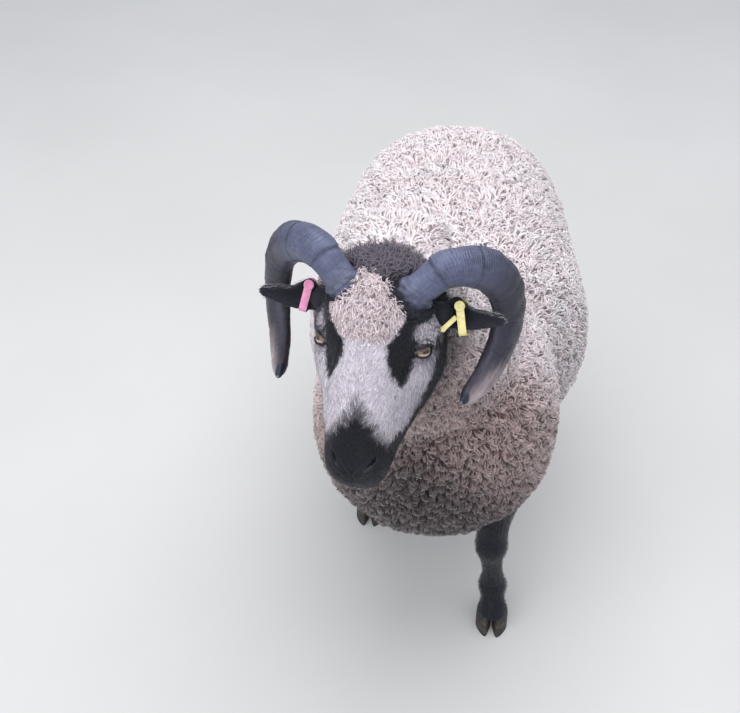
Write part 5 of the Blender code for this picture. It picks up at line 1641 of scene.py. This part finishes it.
def arc_of(places):
    """How far along a line each of its places lies."""
    return np.concatenate([[0], np.cumsum(far(np.diff(places, axis=0)))])


def evenly(rows, count):
    """Rows read again at equal distances along their places."""
    arc = arc_of(rows[:, :3])
    at = np.linspace(0, arc[-1], count)
    return np.stack([np.interp(at, arc, column) for column in rows.T], -1)


def horn_shape(side, mirror):
    """A curled horn with growth ridges, creases, a fibrous collar and a worn blunt end."""
    rows = evenly(stations(horn_rows(side, mirror), 60), HORN_RINGS)
    centre = from_head(HORN_CURL_CENTRE, mirror)
    rings = tube_rings(rows, 1, HORN_AROUND, lambda places: places - centre)
    middles = rings.mean(1)
    arc = arc_of(middles)
    total = arc[-1]
    angle = 2 * math.pi * (np.arange(HORN_AROUND) + 0.5) / HORN_AROUND
    along, turn = np.meshgrid(arc, angle, indexing="ij")
    share = along / total
    outer = smooth_step(-0.45, 0.60, np.cos(turn))  # 1 on the outside of the curl
    places = rings.reshape(-1, 3)
    rolled = np.stack([np.cos(turn) * 0.02, np.sin(turn) * 0.02, along * 0.10], -1).reshape(-1, 3)
    soft, fine, slow, fibre = (
        wander(at, size, seed).reshape(along.shape)
        for at, size, seed in (
            (places, 0.030, 21), (places, 0.008, 22), (places, 0.014, 24), (rolled, 0.005, 25),
        )
    )
    grown = smooth_step(0.14, 0.26, share) * (1 - smooth_step(0.90, 0.96, share))
    phase = along + 0.0012 * soft + 0.0004 * fine + 0.0016 * np.sin(turn + 0.6)
    ridge = 0.5 + 0.5 * np.sin(2 * math.pi * phase / RIDGE_APART + 1.5 * slow)
    worn = grown * outer * np.clip(0.60 + 0.55 * slow, 0.10, 1)
    push = 0.00095 * worn * (ridge - 0.5) + 0.0007 * soft + 0.00016 * fine
    crease = np.zeros(along.shape)
    for place, deep, wide in HORN_CREASES:
        there = bell(phase, place * total, wide) * (0.5 + 0.5 * outer)
        push = push - deep * there
        crease = np.maximum(crease, there * deep / 0.0012)
    ragged = along + (0.0030 * soft + 0.0016 * fine)
    lip = smooth_step(0.012, COLLAR_LIP, ragged) * (1 - smooth_step(0.0, 0.0022, ragged - COLLAR_LIP))
    fibrous = 1 - smooth_step(COLLAR_LIP, COLLAR_END, ragged)
    push = push + COLLAR_FLARE * lip * (0.75 + 0.5 * soft) + fibrous * (0.00050 * fibre + 0.0005 * fine)
    rings = rings + unit(rings - middles[:, None]) * push[..., None]
    # a rounded end
    last, tip = rings[-1], middles[-1]
    way = unit(tip - middles[-3])
    dome = np.array([
        tip + (last - tip) * math.cos(bend) + way * HORN_END * math.sin(bend)
        for bend in np.linspace(0, math.pi / 2, 7)[1:-1]
    ])
    obj = tube(f"horn_{side}", np.concatenate([rings, dome]))
    colours = horn_colour(share, turn, worn, ridge, crease, fibrous, fibre, soft)
    end = np.tile(colours[-1], (len(dome), 1))
    paint(obj, np.concatenate([colours.reshape(-1, 3), end, colours[0, :1], colours[-1, :1]]))
    reach = np.concatenate([arc, total + 0.001 * np.arange(1, len(dome) + 1)])
    uv = np.stack(np.meshgrid(np.arange(HORN_AROUND) / HORN_AROUND, reach * 8), -1).reshape(-1, 2)
    lay_uv(obj, GRAIN_NAME, np.concatenate([uv, uv[:1], uv[-1:]]))
    return obj


def horn_colour(share, turn, worn, ridge, crease, fibrous, fibre, soft):
    """Blue slate with a painted reflection of the sky, brown crests on the worn outside, a pale streaky end
    with a black cap.
    """
    ram = settings()
    size = share.shape
    share, turn, worn, ridge, crease, fibrous, fibre, soft = (
        value.reshape(-1) for value in (share, turn, worn, ridge, crease, fibrous, fibre, soft)
    )
    # the slate of the horns' first stretch is lightened and blued as a painted reflection of the sky
    colours = plain(ram.horn_slate_and_sky_reflection, share) * (1 + 0.10 * soft)[:, None]
    colours = blend(colours, ram.horn_brown, 0.92 * smooth_step(0.24, 0.48, share + 0.03 * soft))
    colours = colours * (1 - worn * (0.75 - 1.10 * ridge))[:, None]
    crest = worn * ridge**2 * smooth_step(0.36, 0.62, share + 0.04 * soft) * (0.30 + 0.25 * fibre)
    colours = blend(colours, ram.horn_tip, np.clip(crest, 0, 1))
    pale = smooth_step(0.72, 0.90, share + 0.03 * soft + 0.02 * fibre)
    streaky = pale * (0.75 + 0.15 * fibre) * smooth_step(-0.9, 0.3, np.cos(turn))
    colours = blend(colours, ram.horn_tip, streaky)
    colours = colours * (1 + 0.12 * fibre * pale)[:, None]
    colours = colours * (1 - 0.6 * crease)[:, None]
    colours = blend(colours, COLLAR_COLOUR, fibrous * (0.45 + 0.45 * fibre))
    colours = blend(colours, ram.black_hair, smooth_step(0.055, 0.030, share))
    end = smooth_step(0.978, 0.998, share + 0.008 * soft + 0.020 * np.cos(turn - 2.4))
    colours = blend(colours, ram.black_hair, end)
    return np.clip(colours, 0.003, 1).reshape(*size, 3)


class RAM_OT_horns(bpy.types.Operator):
    """Makes the two curled horns"""

    bl_idname = "ram.horns"
    bl_label = "Horns"

    def execute(self, context):
        made = horn_material()
        for side, mirror in SIDES:
            finish_piece(horn_shape(side, mirror), [f"horn_{side}"], "horn", made)
        return {"FINISHED"}


def ear_frame(mirror):
    root, tip = from_head(EAR_ROOT, mirror), from_head(EAR_TIP, mirror)
    along = unit(tip - root)
    facing = head_way(EAR_FACING, mirror)
    facing = unit(facing - along * (facing @ along))
    return root, along, facing, np.cross(along, facing) * mirror, far(tip - root)


def ear_places(mirror, shares, spans, off):
    """Places on the ear: shares of its length, -1 to 1 across it, and off its middle surface."""
    root, along, facing, down, length = ear_frame(mirror)
    upper, lower, cup = keyed(EAR, shares.ravel()).T
    shares, spans, off = shares.ravel(), spans.ravel(), off.ravel()
    width = np.where(spans < 0, upper, lower)
    slope = np.arctan2(2 * cup * spans, width)
    across = spans * width - np.sin(slope) * off
    out = -cup * (1 - spans**2) + np.cos(slope) * off
    return root + along * (shares * length)[:, None] + down * across[:, None] + facing * out[:, None]


def ear_shape(side, mirror):
    """A leaf-shaped cup with a thick, soft rim, and its rounded root."""
    shares = np.linspace(0.0, 1.0, EAR_RINGS)
    turn = 2 * math.pi * (np.arange(EAR_AROUND) + 0.5) / EAR_AROUND
    spans = np.cos(turn)
    face = np.sign(np.sin(turn)) * np.abs(np.sin(turn)) ** 0.35
    half = EAR_THICKNESS / 2 * face * (1 - 0.45 * spans**2)
    s, a = np.meshgrid(shares, spans, indexing="ij")
    off = half[None] * (1 - 0.4 * shares[:, None])
    rings = ear_places(mirror, s, a, off).reshape(EAR_RINGS, EAR_AROUND, 3)
    obj = tube(f"ear_{side}", rings)
    root, along, facing, down, _ = ear_frame(mirror)
    table = stations(EAR_BUTT, 6)
    places = root + along * table[:, :1] - facing * 0.004
    count = len(table)
    butt = oval_rings(
        places, np.tile(down, (count, 1)), np.tile(facing, (count, 1)), table[:, 1] * 1.1,
        table[:, 1] * 0.8, table[:, 1] * 0.8, 40,
    )
    joined(obj, [tube("butt", butt)])
    start, out, _, _ = tag_frame(side, mirror)
    holes = [(start, TAG_PIN_RADIUS)]
    if side == "left":
        holes.append((small_tag_places()[1], SMALL_TAG_PIN))
    for middle, radius in holes:
        hole = pin("hole", middle - out * HOLE_REACH, middle + out * HOLE_REACH, radius + HOLE_GAP)
        cut = obj.modifiers.new("hole", "BOOLEAN")
        cut.operation, cut.solver, cut.object = "DIFFERENCE", "MANIFOLD", hole
        apply_modifiers(obj)
        bpy.data.objects.remove(hole)
    return obj


def pin(name, start, end, radius):
    side, up = crossways(unit(end - start), (0.3, 0.5, 0.8))
    angle = 2 * math.pi * np.arange(PIN_SIDES) / PIN_SIDES
    ring = side * np.cos(angle)[:, None] * radius + up * np.sin(angle)[:, None] * radius
    return tube(name, np.stack([start + ring, end + ring]), smooth=False)


def tag_frame(side, mirror):
    """The pin's place, the tag's directions out of the ear and down the strip, and its reach."""
    root, along, facing, down, length = ear_frame(mirror)
    share, top, bottom, slant = TAGS[side]
    start = root + along * (share * length) + down * top
    way = down * (bottom - top) + along * slant
    return start, facing, unit(way), bottom - top


def small_tag_places():
    """Start, pin and end of the short strip, in the ram's frame."""
    root, along, facing, down, length = ear_frame(1)
    start, held, end = (
        root + along * (share * length) + down * across + facing * off for share, across, off in SMALL_TAG
    )
    way = unit(end - start)
    return start, start + way * ((held - start) @ way), end


def strip(name, path, wide, normals, half_width, half_thickness):
    """A flat strip along a path, with rounded edges."""
    rings = [
        [
            place + wide * (across * half_width) + normal * (off * half_thickness)
            for across, off in ((1, 1), (-1, 1), (-1, -1), (1, -1))
        ]
        for place, normal in zip(path, normals)
    ]
    obj = tube(name, rings, smooth=False)
    edge = obj.modifiers.new("edge", "BEVEL")
    edge.width, edge.segments, edge.limit_method = TAG_EDGE, 2, "ANGLE"
    edge.angle_limit = math.radians(40)
    return apply_modifiers(obj)


def button(name, base, way, radius, height):
    """A low round head with a rounded edge and a dimple."""
    side, up = crossways(way, (0.3, 0.5, 0.8))
    angle = 2 * math.pi * np.arange(BUTTON_SIDES) / BUTTON_SIDES
    circle = side * np.cos(angle)[:, None] + up * np.sin(angle)[:, None]
    rings = [base + way * (height * rise) + circle * radius * wide for rise, wide in BUTTON]
    return tube(name, rings, smooth=False)


def folded_tag(side, mirror):
    """A strip folded round the ear's lower edge, pinned through the ear under two round heads."""
    start, facing, way, reach = tag_frame(side, mirror)
    straight = reach - TAG_CORNER
    outline, turns = [(0, TAG_FRONT), (straight * 0.5, TAG_FRONT), (straight, TAG_FRONT)], [0, 0, 0]
    for middle, first in ((TAG_FRONT - TAG_CORNER, 0), (TAG_BACK + TAG_CORNER, math.pi / 2)):
        for angle in np.linspace(first, first + math.pi / 2, 9)[1:]:
            outline.append((straight + math.sin(angle) * TAG_CORNER, middle + math.cos(angle) * TAG_CORNER))
            turns.append(angle)
    outline.append((0, TAG_BACK))
    turns.append(math.pi)
    path = [start + way * down + facing * off for down, off in outline]
    normals = [way * math.sin(turn) + facing * math.cos(turn) for turn in turns]
    obj = strip(f"tag_{side}", path, np.cross(way, facing), normals, TAG_WIDTH / 2, TAG_THICKNESS / 2)
    heads = [pin("tag_pin", start + facing * TAG_BACK, start + facing * TAG_FRONT, TAG_PIN_RADIUS)]
    for off, out in ((TAG_FRONT, 1), (TAG_BACK, -1)):
        base = start + facing * (off - out * TAG_THICKNESS * 0.4)
        heads.append(button("tag_head", base, facing * out, TAG_BUTTON_RADIUS, TAG_THICKNESS * 1.4))
    joined(obj, heads)
    smooth_below(obj, TAG_SHARP)
    return obj


def short_tag():
    """A short strip in front of the left ear, pinned through it, with a round end."""
    start, middle, end = small_tag_places()
    facing = ear_frame(1)[2]
    way = unit(end - start)
    normal = unit(facing - way * (facing @ way))
    wide = np.cross(way, normal)
    obj = strip(
        "tag_left_small", (start, end), wide, (normal, normal), SMALL_TAG_WIDTH / 2, TAG_THICKNESS / 2
    )
    back = middle + facing * (SMALL_TAG_BACK - SMALL_TAG[1][2])
    head = back + facing * TAG_THICKNESS / 2
    parts = [
        button("tag_end", end - normal * TAG_THICKNESS, normal, SMALL_TAG_BUTTON, TAG_THICKNESS * 2),
        pin("tag_pin", back, middle, SMALL_TAG_PIN),
        button("tag_head", head, -facing, SMALL_TAG_BUTTON * 0.8, TAG_THICKNESS * 1.5),
    ]
    joined(obj, parts)
    smooth_below(obj, TAG_SHARP)
    return obj


class RAM_OT_ears(bpy.types.Operator):
    """Makes the ears, with the pale fringe on their rims"""

    bl_idname = "ram.ears"
    bl_label = "Ears"

    def execute(self, context):
        ram = context.scene.ram
        draw = np.random.default_rng(ram.seed + 4)
        made = coat_material("ear_fur")
        tufts = Tufts(2)
        spacing, longest, thick = EAR_TUFT
        for group, (side, mirror) in enumerate(SIDES):
            obj = ear_shape(side, mirror)
            places = vertex_points(obj)
            paint(obj, plain(ram.black_hair, places))
            finish_piece(obj, [f"ear_{side}"], "ear_skin", made)
            surface = surface_of(obj)
            root, along, facing, down, length = ear_frame(mirror)

            def outside(points):
                return ((points - root) @ along > 0.004) & tag_clear(points, side, mirror)

            roots, normals = scatter(surface, outside, spacing, draw)
            share = ((roots - root) @ along) / length
            over = (roots - root) @ down < -keyed(EAR, share)[:, 0] * 0.5
            rim = smooth_step(-0.0028, -0.0008, (roots - root) @ facing) * over
            rim = rim * smooth_step(0.30, 0.45, share)
            rim = np.maximum(rim, smooth_step(0.94, 0.99, share) * 0.8)
            colours = blend(plain(ram.black_hair, roots), EAR_FRINGE, rim)
            lie = np.tile(along, (len(roots), 1)) + draw.normal(0, 0.2, roots.shape)
            hair = longest * draw.uniform(0.6, 1.3, len(roots)) * (1 - 0.35 * (share > 0.9))
            tufts.grow(
                roots, normals, lie, hair, thick, draw, colours, lean=draw.uniform(1.3, 2.0, len(roots)),
                flat=0.6, sink=0.0004, root_shade_and_tone=0.8, tip_width=0.5, group=group, rise=HAIR_RISE,
            )
        tufts.finish("ear_hair", head_unwrap, "ear_skin", coat_material("ear_hair"))
        return {"FINISHED"}


def tag_clear(points, side, mirror):
    """True away from the tags, so that no hair grows through them."""
    start, facing, way, reach = tag_frame(side, mirror)
    aside, down = (points - start) @ np.cross(way, facing), (points - start) @ way
    return (np.abs(aside) > TAG_WIDTH / 2 + 0.001) | (down < -0.007) | (down > reach)


class RAM_OT_tags(bpy.types.Operator):
    """Makes the bare plastic ear tags"""

    bl_idname = "ram.tags"
    bl_label = "Ear tags"

    def execute(self, context):
        ram = context.scene.ram
        pink = tag_material("pink_plastic", ram.pink_tag)
        yellow = tag_material("yellow_plastic", ram.yellow_tag)
        finish_piece(folded_tag("right", -1), ["tag_right"], "tag_right", pink)
        finish_piece(folded_tag("left", 1), ["tag_left"], "tag_left", yellow)
        finish_piece(short_tag(), ["tag_left_small"], "tag_left", yellow)
        return {"FINISHED"}


def eye_shape(side, mirror):
    """An eyeball with a domed cornea, a brown iris whose upper part is darkened as painted shadow of the
    lid, and a lying slot for its pupil.
    """
    ram = settings()
    out, along, up = (head_way(way, mirror) for way in eye_axes())
    centre = from_head(EYE_CENTRE, mirror)
    tilt = np.linspace(0.02, math.pi - 0.02, 72)
    turn = 2 * math.pi * np.arange(96) / 96
    t, a = np.meshgrid(tilt, turn, indexing="ij")
    side_reach, up_reach, deep = np.sin(t) * np.cos(a), np.sin(t) * np.sin(a), np.cos(t)
    bulge = 0.0006 * np.exp(-((t / 0.55) ** 4))
    radius = EYE_RADIUS + bulge
    points = centre + radius[..., None] * (
        side_reach[..., None] * along + up_reach[..., None] * up + deep[..., None] * out
    )
    obj = tube(f"eye_{side}", points)
    x, y = side_reach * EYE_RADIUS, up_reach * EYE_RADIUS
    reach = np.hypot(x, y)
    front = deep > 0
    streak = 0.5 + 0.5 * np.sin(a * 37 + 2 * np.sin(a * 11))
    rayed = streak[..., None] * smooth_step(0.002, 0.006, reach)[..., None]
    iris = np.array(ram.iris) * (0.70 + 0.55 * rayed)
    low = smooth_step(-0.0010, -0.0030, y)[..., None]
    iris = iris + (np.array(LOWER_IRIS) - iris) * low * 0.8
    # painted shadow of the upper lid over the upper part of the iris
    iris = iris * (1 - 0.60 * smooth_step(-0.0005, 0.0020, y)[..., None])
    colours = np.where((front & (reach < IRIS_RADIUS))[..., None], iris, np.array(EYE_EDGE))
    limb = bell(reach, IRIS_RADIUS, 0.0009) * front
    colours = colours * (1 - 0.85 * limb[..., None])
    slot = (np.abs(x / PUPIL[0]) ** 3 + np.abs((y + 0.0008) / PUPIL[1]) ** 3) ** (1 / 3)
    pupil = (smooth_step(1.12, 0.92, slot) * front)[..., None]
    colours = colours * (1 - pupil) + np.array(PUPIL_COLOUR) * pupil
    colours = colours.reshape(-1, 3)
    paint(obj, np.concatenate([colours, colours[:1], colours[-1:]]))
    return obj


class RAM_OT_eyes(bpy.types.Operator):
    """Makes the two eyes"""

    bl_idname = "ram.eyes"
    bl_label = "Eyes"

    def execute(self, context):
        made = eye_material()
        for side, mirror in SIDES:
            finish_piece(eye_shape(side, mirror), [f"eye_{side}"], "eye", made)
        return {"FINISHED"}


def claw_shape(leg, apart):
    """One claw of a hoof, with growth rings, a worn edge and a flat top cut off under the hair."""
    point, normal = coronet_plane(leg)
    angle = 2 * math.pi * np.arange(CLAW_AROUND) / CLAW_AROUND
    along, across = np.cos(angle), np.sin(angle)
    toe = np.maximum(0, along)
    rings = []
    for share in np.concatenate([[0.0, 0.006], np.linspace(0.02, 1.0, 34)]):
        shrink = float(keyed(CLAW_RINGS, share)[0, 0]) * (0.985 if share == 0 else 1)
        height = CLAW_TOP * share
        ring_bump = 0.00022 * math.sin(share * 55) * (0.1 < share < 0.95)
        wide = CLAW_HALF_WIDTH * (1 - TOE_TAPER * toe**1.5) * shrink + ring_bump
        x = CLAW_SPLIT + CLAW_HALF_WIDTH + across * wide - TOE_INTURN * toe**2
        y = TOE_REACH - CLAW_LENGTH / 2 * (1 - along * shrink) - CLAW_RAKE * height + ring_bump * along
        rings.append(np.stack([
            point[0] + apart * np.maximum(x, CLAW_SPLIT), point[1] - y, np.full(CLAW_AROUND, height),
        ], -1))
    side = "outer" if apart * point[0] > 0 else "inner"
    obj = tube(f"hoof_{leg}_{side}", rings)
    cut_off(obj, point, normal, -CLAW_SUNK, clear_outer=True)
    smooth_below(obj, HOOF_SHARP)
    return obj, side


class RAM_OT_hooves(bpy.types.Operator):
    """Makes the eight claws of the hooves"""

    bl_idname = "ram.hooves"
    bl_label = "Hooves"

    def execute(self, context):
        made = hoof_material()
        for leg in STRIDES:
            for apart in (-1, 1):
                obj, side = claw_shape(leg, apart)
                finish_piece(obj, [f"hoof_{leg}_{side}"], "hoof", made)
        return {"FINISHED"}


class RAM_OT_stage(bpy.types.Operator):
    """Sets the floor, the lights and the camera"""

    bl_idname = "ram.stage"
    bl_label = "Stage"

    def execute(self, context):
        scene = context.scene
        corners = FLOOR_REACH * np.array(((-1, -1, 0), (1, -1, 0), (1, 1, 0), (-1, 1, 0)))
        floor = mesh_object("floor", corners, [[(0, 1, 2, 3)]], False)
        floor.data.materials.append(floor_material())
        world = bpy.data.worlds.new("sky")
        world.use_nodes = True
        sky = world.node_tree.nodes["Background"]
        sky.inputs["Color"].default_value = SKY_COLOUR
        sky.inputs["Strength"].default_value = SKY_STRENGTH
        scene.world = world
        for name, place, size, power, colour in LIGHTS:
            light = bpy.data.lights.new(name, "AREA")
            light.shape, light.size, light.energy, light.color = "DISK", size, power, colour
            lamp = bpy.data.objects.new(name, light)
            lamp.location = place
            aim = Vector(LIGHTS_AIM) - Vector(place)
            lamp.rotation_euler = aim.to_track_quat("-Z", "Y").to_euler()
            scene.collection.objects.link(lamp)
        lens = bpy.data.cameras.new("photographer")
        lens.lens, lens.sensor_width, lens.sensor_fit = CAMERA_LENS, SENSOR_WIDTH, "HORIZONTAL"
        lens.clip_start = NEAREST_SEEN
        camera = bpy.data.objects.new("photographer", lens)
        camera.location = Vector(CAMERA_AT) + Vector(ORIGIN_SHIFT)
        flat = Vector((*CAMERA_TOWARDS, 0)).normalized()
        towards = flat * math.cos(CAMERA_DOWN) - Vector((0, 0, math.sin(CAMERA_DOWN)))
        camera.rotation_euler = towards.to_track_quat("-Z", "Y").to_euler()
        scene.collection.objects.link(camera)
        scene.camera = camera
        scene.view_settings.view_transform = "Standard"
        return {"FINISHED"}


class RAM_PT_panel(bpy.types.Panel):
    """Lists the ram's pieces"""

    bl_label = "Ram"
    bl_idname = "RAM_PT_panel"
    bl_space_type = "VIEW_3D"
    bl_region_type = "UI"
    bl_category = "Ram"

    def draw(self, context):
        for operator in OPERATORS:
            self.layout.operator(operator.bl_idname)
        for name in RamSettings.__annotations__:
            self.layout.prop(context.scene.ram, name)


OPERATORS = (
    RAM_OT_stage, RAM_OT_skin, RAM_OT_fleece, RAM_OT_crown, RAM_OT_face_hair, RAM_OT_leg_hair,
    RAM_OT_horns, RAM_OT_ears, RAM_OT_tags, RAM_OT_eyes, RAM_OT_hooves,
)


def register():
    for made in (RamSettings, *OPERATORS, RAM_PT_panel):
        bpy.utils.register_class(made)
    bpy.types.Scene.ram = PointerProperty(type=RamSettings)


def unregister():
    del bpy.types.Scene.ram
    for made in (RAM_PT_panel, *reversed(OPERATORS), RamSettings):
        bpy.utils.unregister_class(made)


def main():
    register()
    for operator in OPERATORS:
        group, name = operator.bl_idname.split(".")
        getattr(getattr(bpy.ops, group), name)()


if __name__ == "__main__":
    main()
